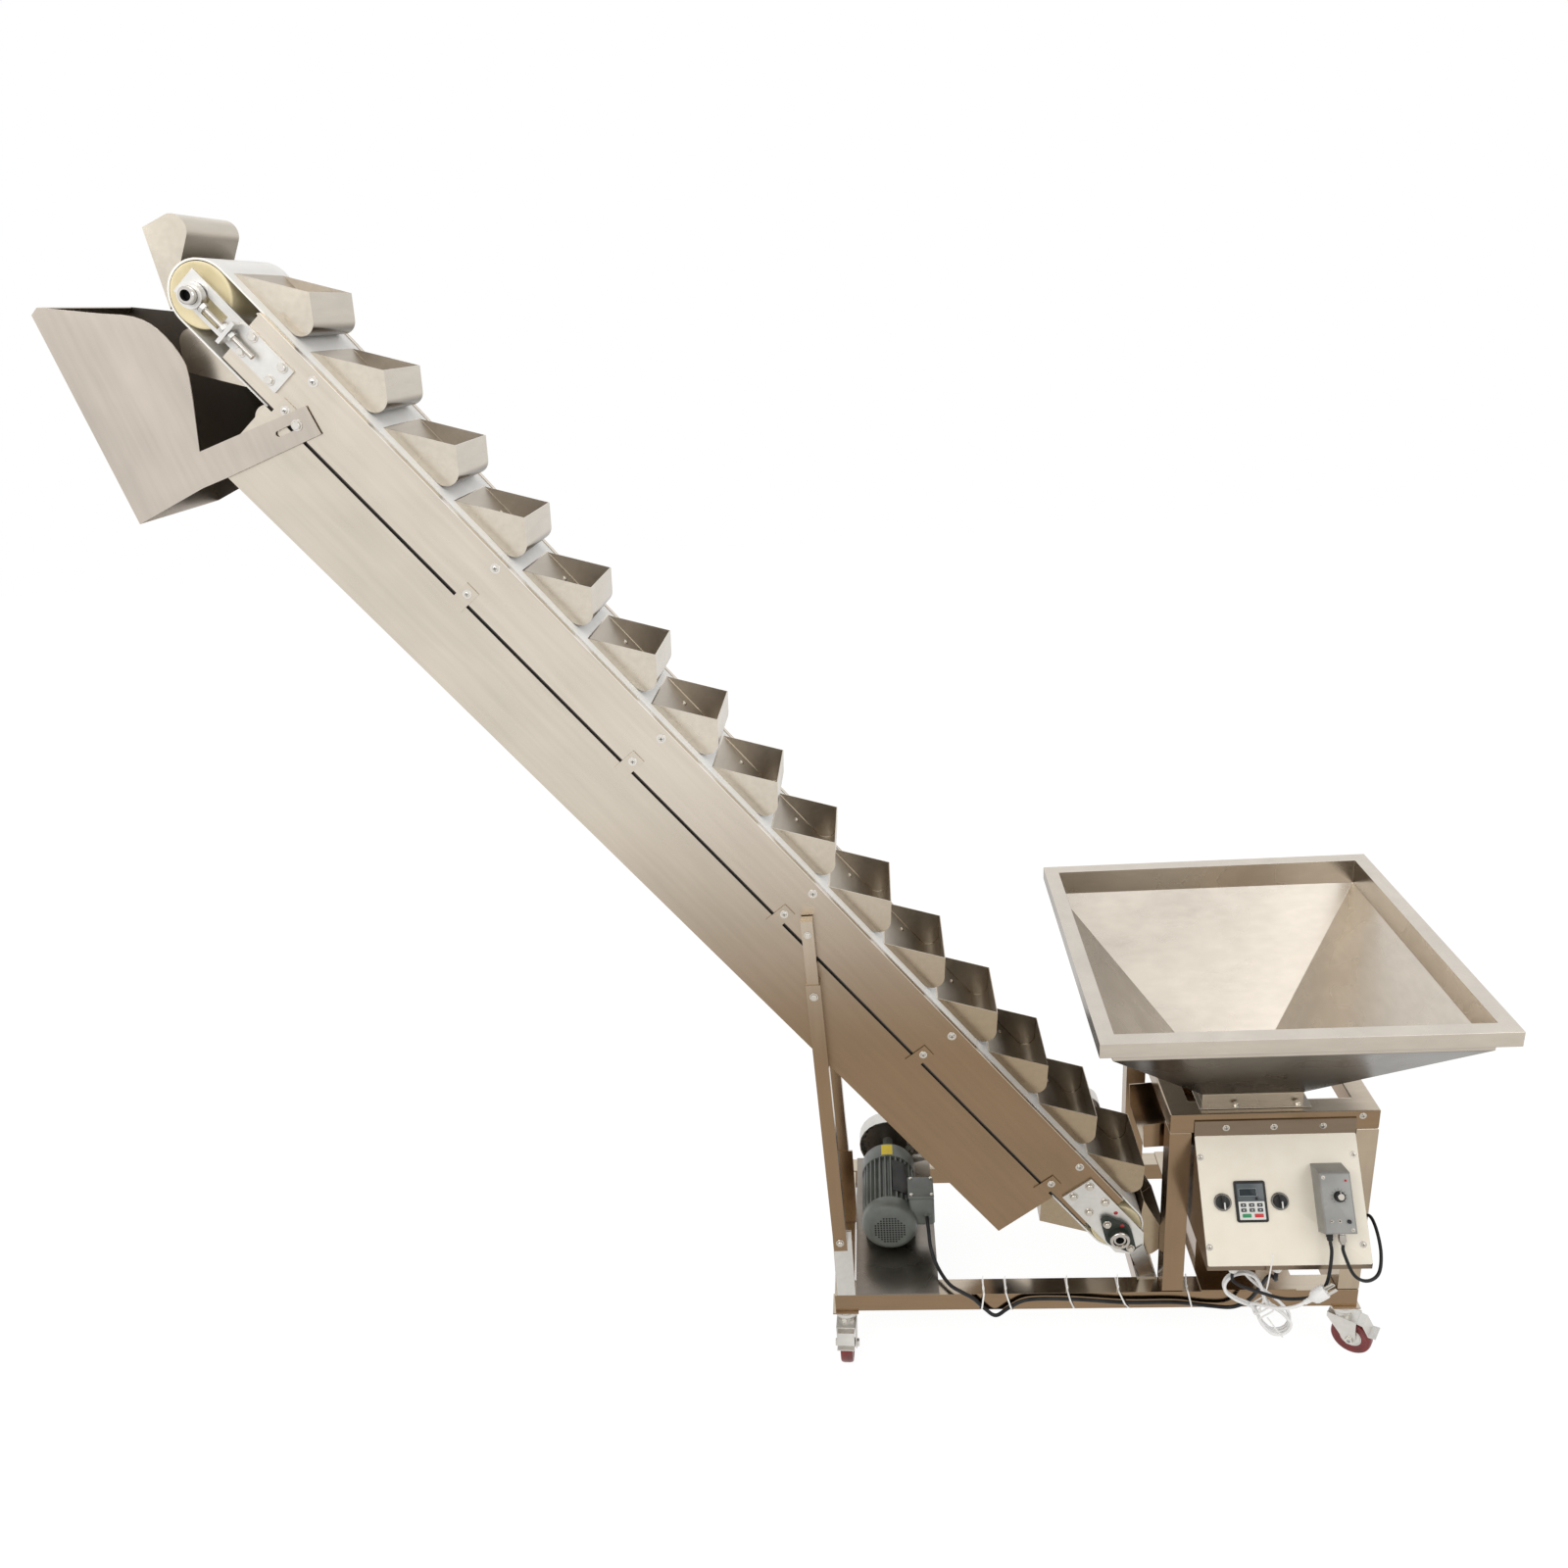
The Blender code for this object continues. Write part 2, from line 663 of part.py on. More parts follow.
def take_up(name, side):
    """The slotted head bracket, the screw that pulls the shaft along it, and its lug."""
    face = BOOM_HALF + SEAT
    out = face + TAKE_UP_SHEET
    middle = 0.004
    half = TAKE_UP_WIDTH / 2
    slot = SHAFT_RADIUS + RUNNING
    outline = rectangle(TAKE_UP_LOW, TAKE_UP_HIGH, middle - half, middle + half)
    gap = rectangle(-slot, TAKE_UP_SLOT, -slot, slot)
    plate = flat(name, [outline, gap], *side_band(side, face, out), "XZ", ZINC, BOOM)
    lug = box(
        "lug", (TAKE_UP_LUG, side_band(side, out - SUNK, out + 0.020)[0], -0.020),
        (TAKE_UP_LUG + 0.006, side_band(side, out - SUNK, out + 0.020)[1], 0.020), None, BOOM)
    middle_y = side * (out + 0.010)
    screw = rod(
        "take_up_screw", TAKE_UP_SCREW, (slot + 0.004, middle_y, 0), (TAKE_UP_LUG + 0.050, middle_y, 0), None, BOOM, 12)
    eye = turned(
        "eye", [(slot, 0.007), (slot + 0.006, 0.007), (slot + 0.006, -0.007), (slot, -0.007)], 24, None, BOOM,
        (0, middle_y, 0), (math.pi / 2, 0, 0))
    return weld(plate, lug, screw, eye)


def tail_bracket(name, side):
    """The bearing plate at the tail, with a strap bent inwards and down to a foot on the middle rail."""
    face = BOOM_HALF + SEAT
    band = side_band(side, face, face + TAIL_SHEET)
    outline = [
        (TAIL_HEAD, -0.0305), (0.036, -0.0325), (TAIL_BEND, -0.0140), (TAIL_BEND, 0.0190), (0.031, 0.0375),
        (TAIL_HEAD, 0.0375),
    ]
    hole = arc((0, 0), SHAFT_RADIUS + 0.002, 0, 345, 23)
    plate = flat(name, [outline, hole], *band, "XZ", ZINC, TAIL)
    turn = -side * STRAP_ANGLE
    bend = empty(name + "_bend", (TAIL_BEND, side * face, 0), (0, 0, turn), TAIL)
    foot_z = BASE_TOP + SEAT
    ends = [strap_point(foot_z + 0.002, MIDDLE_RAIL_LEFT + 0.007), strap_point(foot_z + 0.002, MIDDLE_RAIL_LEFT + FOOT_WIDTH)]
    shape = [(-0.006, -0.0112), ends[0], ends[1], (0.098, -0.0155), (0, 0.0190), (-0.006, 0.0190)]
    strap = flat("strap", [shape], *side_band(side, 0, TAIL_SHEET), "XZ", None, bend)
    reach = face - ends[0][0] * math.sin(STRAP_ANGLE)
    near, far = side_band(side, reach + 0.005, reach + 0.005 - FOOT_DEPTH)
    foot = box(
        "foot", (MIDDLE_RAIL_LEFT + 0.001, near, foot_z),
        (MIDDLE_RAIL_LEFT + 0.001 + FOOT_WIDTH, far, foot_z + FOOT_SHEET))
    return weld(plate, strap, foot)


def strap_point(height, x):
    """Where a strap reaches a height and an X, as its length from the bend and its place across the boom."""
    across = x - TAIL_X
    down = TAIL_Z - height
    along = across * math.cos(INCLINE) + down * math.sin(INCLINE)
    up = across * math.sin(INCLINE) - down * math.cos(INCLINE)
    return ((along - TAIL_BEND) / math.cos(STRAP_ANGLE), up)


def bearing(name, side, seat):
    """The flange and the boss of a two-bolt bearing, and the bore to cut through them."""
    half = BEARING_BOLTS / 2
    lean = math.degrees(math.acos((BEARING_RADIUS - BEARING_EAR) / half))
    outline = arc((half, 0), BEARING_EAR, -lean, lean, 4) + arc((0, 0), BEARING_RADIUS, lean, 180 - lean, 6)
    outline += arc((-half, 0), BEARING_EAR, 180 - lean, 180 + lean, 4)
    outline += arc((0, 0), BEARING_RADIUS, 180 + lean, 360 - lean, 6)
    flange = flat(name, [outline], *side_band(side, seat, seat + BEARING_FLANGE), "XZ", CAST_BLACK, TAIL)
    spots = [(0, side * (seat + depth), 0) for depth in (BEARING_FLANGE / 2, BEARING_DEPTH, -0.03, 0.03)]
    boss = rod(name + "_boss", BEARING_BOSS, spots[0], spots[1], None, TAIL, 20)
    bore = rod(name + "_bore", SHAFT_RADIUS + RUNNING, spots[2], spots[3], None, TAIL, 20)
    return flange, boss, bore


boom_side("boom_side_near", -1)
boom_side("boom_side_far", 1)
take_up("take_up_near", -1)
take_up("take_up_far", 1)
tail_bracket("tail_bracket_near", -1)
housing, boss, bore = bearing("tail_bearing_near", -1, BOOM_HALF + TAIL_SHEET + 2 * SEAT)
cut(weld(housing, boss), bore)
housing, boss, bore = bearing("tail_bearing_far", 1, BOOM_HALF + TAIL_SHEET + SEAT - SUNK)
cut(weld(tail_bracket("tail_bracket_far", 1), housing, boss), bore)


def slider_bed():
    """The sheet that carries the loaded run of the belt, with its cross bars."""
    half = BOOM_HALF - SIDE_SHEET - SEAT
    top = BELT_INNER - SEAT
    start = SIDE_START - 0.004
    end = SIDE_END - 0.020
    bed = box("slider_bed", (start, -half, top - BED_SHEET), (end, half, top), STAINLESS, BOOM)
    bars = []
    for n in range(BED_BARS):
        at = start + BED_BAR + (end - start - 3 * BED_BAR) * n / (BED_BARS - 1)
        low = top - BED_SHEET - BED_BAR
        bars.append(box("bed_bar", (at, -half, low), (at + BED_BAR, half, top - BED_SHEET / 2), None, BOOM))
    return weld(bed, *bars)


def return_pan():
    """The U-shaped pan round the return run, with the tabs that screw it to the side sheets."""
    section = strip([(-BOOM_HALF, PAN_TOP), (-BOOM_HALF, PAN_BOTTOM), (BOOM_HALF, PAN_BOTTOM), (BOOM_HALF, PAN_TOP)], SHEET)
    pan = flat("return_pan", [section], PAN_START, PAN_END, "YZ", STAINLESS, BOOM)
    face = BOOM_HALF + SEAT
    foot = PAN_TOP - 0.014
    tabs = []
    for n in range(TAB_COUNT):
        middle = TAB_FIRST + (TAB_LAST - TAB_FIRST) * n / (TAB_COUNT - 1)
        for side in (-1, 1):
            step = [
                (face, TAB_HEAD), (face + SHEET, TAB_HEAD), (face + SHEET, foot), (BOOM_HALF - SUNK, foot),
                (BOOM_HALF - SUNK, PAN_TOP - 0.003), (face, PAN_TOP - 0.003),
            ]
            step = [(side * across, up) for across, up in step]
            tabs.append(flat("tab", [step], middle - TAB_SIZE / 2, middle + TAB_SIZE / 2, "YZ", None, BOOM))
    return weld(pan, *tabs)


slider_bed()
return_pan()


# Belt and buckets: the buckets follow the belt's path round both drums
BUCKET_HALF = -(BASE_FRONT + TUBE) - BUCKET_CLEARANCE


def bucket_path():
    """The outside of a bucket from the top of its back, round its heel, to its front lip."""
    centre = (BUCKET_BACK - BUCKET_NOSE, BUCKET_NOSE)
    touch = tangent_point(BUCKET_MOUTH, centre, BUCKET_NOSE)
    end = math.degrees(math.atan2(touch[1] - centre[1], touch[0] - centre[0]))
    nose = arc(centre, BUCKET_NOSE, BUCKET_HEEL, end, 4)
    return [(0, 0), (nose[0][0] - 0.003, 0)] + nose + [BUCKET_MOUTH]


def bucket(name, lift, finish):
    """A sheet bucket with square ends, open at its mouth, standing lift above the belt line."""
    path = bucket_path()
    inside = strip(path, BUCKET_SHEET)[len(path):]
    mouth = Vector(BUCKET_MOUTH).normalized()
    out = (-mouth.y * 0.02, mouth.x * 0.02)
    inside += [(inside[-1][0] + out[0], inside[-1][1] + out[1])]
    inside += [(inside[0][0] + out[0], inside[0][1] + out[1])]
    body = flat(name, [shifted(path, lift)], -BUCKET_HALF, BUCKET_HALF, "XZ", finish)
    room = flat(name + "_room", [shifted(inside, lift)], BUCKET_SHEET - BUCKET_HALF, BUCKET_HALF - BUCKET_SHEET, "XZ")
    return cut(body, room)


def shifted(outline, lift):
    """An outline moved so that the belt clip is its origin."""
    return [(along - BUCKET_HANG, up + lift) for along, up in outline]


def belt_place(travel):
    """Where a bucket sits, and how far it has turned, after a travel along the belt from the head."""
    half_turn = math.pi * BELT_BEND
    if travel < 0 or SHAFT_SPAN < travel < SHAFT_SPAN + half_turn:
        centre = 0 if travel < 0 else SHAFT_SPAN
        angle = (travel if travel < 0 else travel - SHAFT_SPAN) / BELT_BEND
    elif travel <= SHAFT_SPAN:
        centre = travel
        angle = 0
    else:
        centre = 2 * SHAFT_SPAN + half_turn - travel
        angle = math.pi
    return (centre + BELT_OUTER * math.sin(angle), 0, BELT_OUTER * math.cos(angle)), (0, angle, 0)


def bucket_travel(number):
    """How far a bucket is from the head; the belt's joint is the long gap on the return run."""
    if number < BUCKET_LEADING:
        return BUCKET_FIRST + number * BUCKET_PITCH
    return BELT_LENGTH + BUCKET_FIRST - (BUCKET_COUNT - number) * BUCKET_PITCH


def baked(source):
    """The evaluated mesh of an object, which then becomes a cutter."""
    made = bpy.data.meshes.new_from_object(source.evaluated_get(bpy.context.evaluated_depsgraph_get()))
    PARTS.objects.unlink(source)
    CUTTERS.objects.link(source)
    source.hide_render = True
    source.display_type = "WIRE"
    return made


def belt():
    """The endless belt, with the buckets that have no solid of their own joined to it."""
    start = (0, 0)
    end = (SHAFT_SPAN, 0)
    outer = stadium(start, end, BELT_OUTER, BELT_OUTER, 12)
    inner = stadium(start, end, BELT_INNER, BELT_INNER, 12)
    loop = flat("belt_loop", [outer, inner], -BELT_WIDTH / 2, BELT_WIDTH / 2, "XZ", RUBBER_WHITE, BOOM)
    joined = baked(bucket("bucket_joined", -SUNK, STAINLESS))
    free = baked(bucket("bucket_free", SEAT, STAINLESS))
    fixed = []
    for number in range(BUCKET_COUNT):
        spot, turn = belt_place(bucket_travel(number))
        if number in BUCKET_FREE:
            place("bucket_%02d" % number, free, None, BOOM, spot, turn)
        else:
            fixed.append(place("bucket_on_belt", joined, None, BOOM, spot, turn))
    return weld(loop, *fixed)


belt()


# Pulleys, with their shafts
def pulley(name, at, near_end, far_end, sprocket):
    """A drum on its shaft, drawn from the near end to the far end."""
    half = DRUM_WIDTH / 2
    hole = 0.010
    profile = [
        (0, near_end + hole), (SHAFT_BORE, near_end + hole), (SHAFT_BORE, near_end), (SHAFT_RADIUS, near_end),
        (SHAFT_RADIUS, -half), (DRUM_RADIUS - 0.002, -half), (DRUM_RADIUS, 0.002 - half),
        (DRUM_RADIUS, half - 0.002), (DRUM_RADIUS - 0.002, half), (SHAFT_RADIUS, half),
    ]
    if sprocket:
        face = CHAIN_Y - CHAIN_WIDTH / 4
        profile += [
            (SHAFT_RADIUS, face), (TAIL_SPROCKET, face), (TAIL_SPROCKET, face + CHAIN_WIDTH / 2),
            (SHAFT_RADIUS, face + CHAIN_WIDTH / 2),
        ]
    profile += [(SHAFT_RADIUS, far_end), (0, far_end)]
    return turned(
        name, [(radius, -y) for radius, y in profile], 24, CREAM, BOOM, (at, 0, 0), (math.pi / 2, 0, 0))


pulley("head_pulley", 0, -SHAFT_END, SHAFT_END, False)
pulley("tail_pulley", SHAFT_SPAN, -0.146, CHAIN_Y + 0.008, True)


# Struts that hold the boom up, each a tube with a bar sliding in it
def strut(name, side):
    """A telescopic strut, with its strap and foot on the base."""
    face = BOOM_HALF + SEAT
    lean = math.atan2(STRUT_TOP_X - STRUT_FOOT_X, STRUT_TOP - STRUT_FOOT)
    axis = empty(name + "_axis", (STRUT_FOOT_X, 0, STRUT_FOOT), (0, lean, 0))
    tube = box(
        name, (-STRUT_TUBE / 2, side_band(side, face, face + STRUT_TUBE)[0], 0),
        (STRUT_TUBE / 2, side_band(side, face, face + STRUT_TUBE)[1], STRUT_JOINT - STRUT_FOOT), STAINLESS, axis)
    wall = (STRUT_TUBE - STRUT_BAR) / 2
    band = side_band(side, face + wall, face + wall + STRUT_BAR)
    bar = box(
        "bar", (-STRUT_BAR / 2, band[0], STRUT_JOINT - STRUT_FOOT - 0.05),
        (STRUT_BAR / 2, band[1], STRUT_TOP - STRUT_FOOT), None, axis)
    boss = rod(
        "boss", 0.007, (0, side * face, STRUT_TOP - STRUT_FOOT - 0.026),
        (0, side * (face + wall + SUNK), STRUT_TOP - STRUT_FOOT - 0.026), None, axis, 16)
    outside = face + SUNK
    inside = outside - STRAP_SHEET
    low = BASE_TOP + SEAT
    bent = [(outside, STRAP_TOP), (outside, low), (face - 0.036, low), (face - 0.036, low + STRAP_SHEET)]
    bent += [(inside, low + STRAP_SHEET), (inside, STRAP_TOP)]
    bent = [(side * across, up) for across, up in bent]
    strap = flat("strut_strap", [bent], STRAP_LEFT, MOTOR_PLATE_LEFT - RUNNING, "YZ")
    return weld(tube, bar, boss, strap)


strut("strut_near", -1)
strut("strut_far", 1)


# Discharge chute: two side plates and an outer wall, open below and towards the boom
def smooth(points, steps):
    """Points on a smooth curve through the given points."""
    route = [Vector(p) for p in points]
    ends = [route[0] * 2 - route[1]] + route + [route[-1] * 2 - route[-2]]
    made = []
    for n in range(1, len(ends) - 2):
        a, b, c, d = ends[n - 1], ends[n], ends[n + 1], ends[n + 2]
        for k in range(steps):
            u = k / steps
            made.append(0.5 * (2 * b + (c - a) * u + (2 * a - 5 * b + 4 * c - d) * u * u
                               + (3 * b - a - 3 * c + d) * u * u * u))
    return made + [route[-1]]


def chute():
    """The chute at the head, bolted through its slotted arms."""
    seat = BOOM_HALF + SEAT + SHEET + SEAT
    top = smooth([CHUTE_OUTLINE[-1], *CHUTE_CURVE], 3)[1:]
    outline = CHUTE_OUTLINE + [tuple(p) for p in top] + [CHUTE_CORNER]
    slot = stadium(*CHUTE_SLOT, CHUTE_SLOT_RADIUS, CHUTE_SLOT_RADIUS, 6)
    axis = empty("chute_frame", (HEAD_X, 0, HEAD_Z))
    near = flat("discharge_chute", [outline, slot], *side_band(-1, seat, seat + CHUTE_SHEET), "XZ", STAINLESS, axis)
    far = flat("far_plate", [outline, slot], *side_band(1, seat, seat + CHUTE_SHEET), "XZ", None, axis)
    fold = strip([CHUTE_CORNER, CHUTE_OUTLINE[0], CHUTE_OUTLINE[1]], CHUTE_SHEET)
    wall = flat("outer_wall", [fold], -seat - CHUTE_SHEET / 2, seat + CHUTE_SHEET / 2, "XZ", None, axis)
    return weld(near, far, wall)


chute()


# Drive: motor plate, gear motor with its sprocket and chain, and the chain guard
MOTOR_SEAT = BASE_TOP + SEAT + MOTOR_PLATE_SHEET + SEAT
MOTOR_Z = MOTOR_SEAT + SHAFT_HEIGHT
MOTOR_BACK = MOTOR_FRONT + MOTOR_LENGTH
box(
    "motor_plate", (MOTOR_PLATE_LEFT, BASE_FRONT, BASE_TOP + SEAT),
    (MOTOR_PLATE_LEFT + MOTOR_PLATE_WIDTH, BASE_REAR, BASE_TOP + SEAT + MOTOR_PLATE_SHEET), STAINLESS)


def gear_motor():
    """A foot-mounted motor with a finned frame, a fan cowl, a gearbox and a terminal box."""
    cowl = MOTOR_FRONT + 0.042
    frame = cowl + 0.092
    flange = frame + 0.014
    profile = [
        (0, MOTOR_FRONT), (MOTOR_RADIUS - 0.012, MOTOR_FRONT), (MOTOR_RADIUS - 0.009, MOTOR_FRONT + 0.003),
        (MOTOR_RADIUS - 0.003, MOTOR_FRONT + 0.004), (MOTOR_RADIUS, MOTOR_FRONT + 0.010), (MOTOR_RADIUS, cowl),
        (MOTOR_RADIUS - 0.009, cowl), (MOTOR_RADIUS - 0.009, frame), (MOTOR_RADIUS, frame),
        (MOTOR_RADIUS, flange), (MOTOR_RADIUS - 0.010, flange + 0.004), (MOTOR_RADIUS - 0.012, MOTOR_BACK - 0.006),
        (MOTOR_RADIUS - 0.018, MOTOR_BACK), (0.011, MOTOR_BACK), (0.011, CHAIN_Y + 0.008), (0, CHAIN_Y + 0.008),
    ]
    body = turned(
        "gear_motor", [(radius, -y) for radius, y in profile], 28, GREY_PAINT, None, (MOTOR_X, 0, MOTOR_Z),
        (math.pi / 2, 0, 0))
    fins = []
    centre = (MOTOR_X, MOTOR_Z)
    for n in range(MOTOR_FINS):
        middle = 360 * (n + 0.5) / MOTOR_FINS
        for radius, width in ((MOTOR_RADIUS - 0.010, 0.30), (MOTOR_RADIUS - 0.0015, 0.20)):
            reach = 360 / MOTOR_FINS * width
            ends = (-1, 1) if radius > MOTOR_RADIUS - 0.005 else (-1,)
            fins += [(radius, middle + end * reach) for end in ends]
        fins.append((MOTOR_RADIUS - 0.010, middle + 360 / MOTOR_FINS * 0.30))
    outline = [
        (centre[0] + radius * math.cos(math.radians(angle)), centre[1] + radius * math.sin(math.radians(angle)))
        for radius, angle in fins
    ]
    ribs = flat("fins", [outline], cowl - SUNK, frame + SUNK, "XZ")
    feet = [
        box(
            "foot", (MOTOR_X + side * 0.040 - 0.012, cowl + 0.008, MOTOR_SEAT),
            (MOTOR_X + side * 0.040 + 0.012, frame - 0.008, MOTOR_Z - 0.030))
        for side in (-1, 1)
    ]
    terminal = box(
        "terminal_box", (MOTOR_X + MOTOR_RADIUS - 0.016, cowl - 0.024, MOTOR_Z - 0.006),
        (MOTOR_X + MOTOR_RADIUS + 0.036, cowl + 0.034, MOTOR_Z + 0.072))
    wheel = turned(
        "motor_sprocket",
        [(0.010, -CHAIN_Y + CHAIN_WIDTH / 4), (MOTOR_SPROCKET, -CHAIN_Y + CHAIN_WIDTH / 4),
         (MOTOR_SPROCKET, -CHAIN_Y - CHAIN_WIDTH / 4), (0.010, -CHAIN_Y - CHAIN_WIDTH / 4)],
        20, None, None, (MOTOR_X, 0, MOTOR_Z), (math.pi / 2, 0, 0))
    tail = (TAIL_X, TAIL_Z)
    inner = TAIL_SPROCKET + RUNNING
    chain = flat(
        "chain",
        [stadium(centre, tail, MOTOR_SPROCKET + CHAIN_THICK, inner + CHAIN_THICK, 10),
         stadium(centre, tail, MOTOR_SPROCKET - CHAIN_THICK / 2, inner, 10)],
        CHAIN_Y - CHAIN_WIDTH / 2, CHAIN_Y + CHAIN_WIDTH / 2, "XZ")
    return weld(body, ribs, *feet, terminal, wheel, chain)


def chain_guard():
    """A tray-shaped guard round the chain, open towards the boom, on a foot on the rear rail."""
    centre = (MOTOR_X, MOTOR_Z)
    tail = (TAIL_X, TAIL_Z)
    big = SHAFT_HEIGHT - SEAT
    small = TAIL_SPROCKET + RUNNING + CHAIN_THICK + GUARD_PLAY
    front = CHAIN_Y - GUARD_DEPTH / 2
    back = CHAIN_Y + GUARD_DEPTH / 2
    cover = flat("chain_guard", [stadium(centre, tail, big, small, 12)], front, back, "XZ", ZINC)
    room = flat(
        "guard_room", [stadium(centre, tail, big - GUARD_SHEET, small - GUARD_SHEET, 12)], front - 0.01,
        back - GUARD_SHEET, "XZ")
    cut(cover, room)
    left = (MOTOR_X + TAIL_X) / 2
    foot = box("guard_foot", (left, back - 0.004, BASE_TOP + SEAT), (left + 0.03, back, MOTOR_Z))
    return weld(cover, foot)


gear_motor()
chain_guard()


# Vibrating feeder: a sloping tray on leaf springs over its drive
def feeder():
    """The tray that runs from under the hopper to the buckets, with its springs, drive and deck."""
    axis = empty("tray_axis", (TRAY_END, 0, TRAY_TOP), (0, -TRAY_SLOPE, 0))
    half = TRAY_WIDTH / 2
    length = (TRAY_END - TRAY_LIP) / math.cos(TRAY_SLOPE)
    section = strip([(-half, 0), (-half, -TRAY_DEPTH), (half, -TRAY_DEPTH), (half, 0)], SHEET)
    tray = flat("vibrating_feeder", [section], -length, 0, "YZ", STAINLESS, axis)
    back = box("tray_back", (-SHEET, -half, -TRAY_DEPTH), (0, half, 0), None, axis)
    deck_z = BASE_TOP + SEAT
    deck = box("deck", (DECK_LEFT, BASE_FRONT, deck_z), (DECK_LEFT + DECK_WIDTH, BASE_REAR, deck_z + MOTOR_PLATE_SHEET))
    under = TRAY_TOP - TRAY_DEPTH - (TRAY_END - DRIVE_X) * math.tan(TRAY_SLOPE)
    base_top = deck_z + 0.115
    head_low = under - 0.045
    base = box("drive_base", (DRIVE_X - 0.060, -0.050, deck_z), (DRIVE_X + 0.060, 0.050, base_top))
    head = box("drive_head", (DRIVE_X - 0.060, -0.045, head_low), (DRIVE_X + 0.050, 0.045, under + 0.0015))
    coil = box("coil", (DRIVE_X - 0.022, -0.030, base_top - SUNK), (DRIVE_X + 0.022, 0.030, head_low - 0.010))
    springs = []
    for side in (-1, 1):
        x = DRIVE_X + side * 0.052
        path = [(x + 0.006, base_top - 0.020), (x + 0.006, base_top), (x - 0.008, head_low), (x - 0.008, head_low + 0.02)]
        springs.append(flat("spring", [strip(path, 0.004)], -0.040, 0.040, "XZ"))
    return weld(tray, back, deck, base, head, coil, *springs)


feeder()


# Control box: a closed case whose lid leans out towards the operator, hung on the top rail
PANEL_TOP_Y = BASE_FRONT - 0.003
PANEL = empty("panel_frame", (0, PANEL_TOP_Y, BOX_TOP), (math.pi / 2 - BOX_FACE_ANGLE, 0, 0))


def control_box():
    """The case with its hanging flange, two cable glands below and the bezels of the two switches."""
    front = PANEL_TOP_Y - BOX_REACH
    rear = BASE_FRONT + BOX_REAR
    outline = [(rear, BOX_TOP), (rear, BOX_BOTTOM), (front, BOX_BOTTOM), (front, BOX_LIP), (PANEL_TOP_Y, BOX_TOP)]
    case = flat("control_box", [outline], BOX_LEFT, BOX_RIGHT, "YZ", PANEL_SHEET)
    flange = box(
        "box_flange", (BOX_LEFT, BASE_FRONT - SEAT - LID_SHEET, BOX_TOP - 0.003),
        (BOX_RIGHT, BASE_FRONT - SEAT, BOX_FLANGE_TOP))
    extras = [flange]
    for x, y in GLANDS:
        profile = [
            (0, BOX_BOTTOM + SUNK), (GLAND_RADIUS, BOX_BOTTOM + SUNK), (GLAND_RADIUS, BOX_BOTTOM - 0.012),
            (GLAND_RADIUS - 0.002, BOX_BOTTOM - GLAND_LENGTH), (0, BOX_BOTTOM - GLAND_LENGTH),
        ]
        extras.append(turned("gland", profile, 12, None, None, (x, y, 0)))
    for x in SWITCHES:
        profile = [
            (0, BEZEL_HEIGHT), (BEZEL_RADIUS - 0.001, BEZEL_HEIGHT), (BEZEL_RADIUS, BEZEL_HEIGHT - 0.001),
            (BEZEL_RADIUS, -SUNK), (0, -SUNK),
        ]
        extras.append(turned("bezel", profile, 20, None, PANEL, (x, SWITCH_DOWN, 0)))
    return weld(case, *extras)


def knob(name, parent, spot, base, radius, height, grip):
    """A round knob on its own turning axis, with a bar across it to grip."""
    axis = empty(name + "_axis", (*spot, base + SEAT), (0, 0, 0), parent)
    disc = height if not grip else height * 0.45
    profile = [(0, disc), (radius - 0.0010, disc), (radius, disc - 0.0010), (radius, 0), (0, 0)]
    body = turned(name, profile, 24, BLACK, axis)
    if not grip:
        return body
    bar = box(name + "_bar", (-0.0032, 0.001 - radius, disc - SUNK), (0.0032, radius - 0.001, height), None, axis)
    return weld(body, bar)


def rounded(left, right, low, high, radius):
    """A rectangle with round corners."""
    corners = [((right - radius, low + radius), -90), ((right - radius, high - radius), 0),
               ((left + radius, high - radius), 90), ((left + radius, low + radius), 180)]
    outline = []
    for centre, start in corners:
        outline += arc(centre, radius, start, start + 90, 4)
    return outline


def controller():
    """The small case that sets the feeder, with a cable grip and a metal connector at its lower end."""
    left = CONTROLLER_X - CONTROLLER_WIDTH / 2
    right = CONTROLLER_X + CONTROLLER_WIDTH / 2
    outline = [
        (CONTROLLER_LOW, SEAT), (CONTROLLER_HIGH, SEAT), (CONTROLLER_HIGH - 0.013, CONTROLLER_HEIGHT),
        (CONTROLLER_LOW, CONTROLLER_HEIGHT),
    ]
    case = flat("vibration_controller", [outline], left, right, "YZ", GREY_BOX, PANEL)
    grip = turned(
        "grip", [(0, GRIP_LENGTH), (0.0045, GRIP_LENGTH), (0.0065, 0.004), (0.0065, -SUNK), (0, -SUNK)], 16, None, PANEL,
        (GRIP_X, CONTROLLER_LOW, CONTROLLER_HEIGHT / 2), (math.pi / 2, 0, 0))
    plug = turned(
        "connector", [(0, PLUG_LENGTH), (0.005, PLUG_LENGTH), (0.007, PLUG_LENGTH - 0.004), (0.007, -SUNK), (0, -SUNK)],
        16, None, PANEL, (CONNECTOR_X, CONTROLLER_LOW, CONTROLLER_HEIGHT / 2), (math.pi / 2, 0, 0))
    return weld(case, grip, plug)


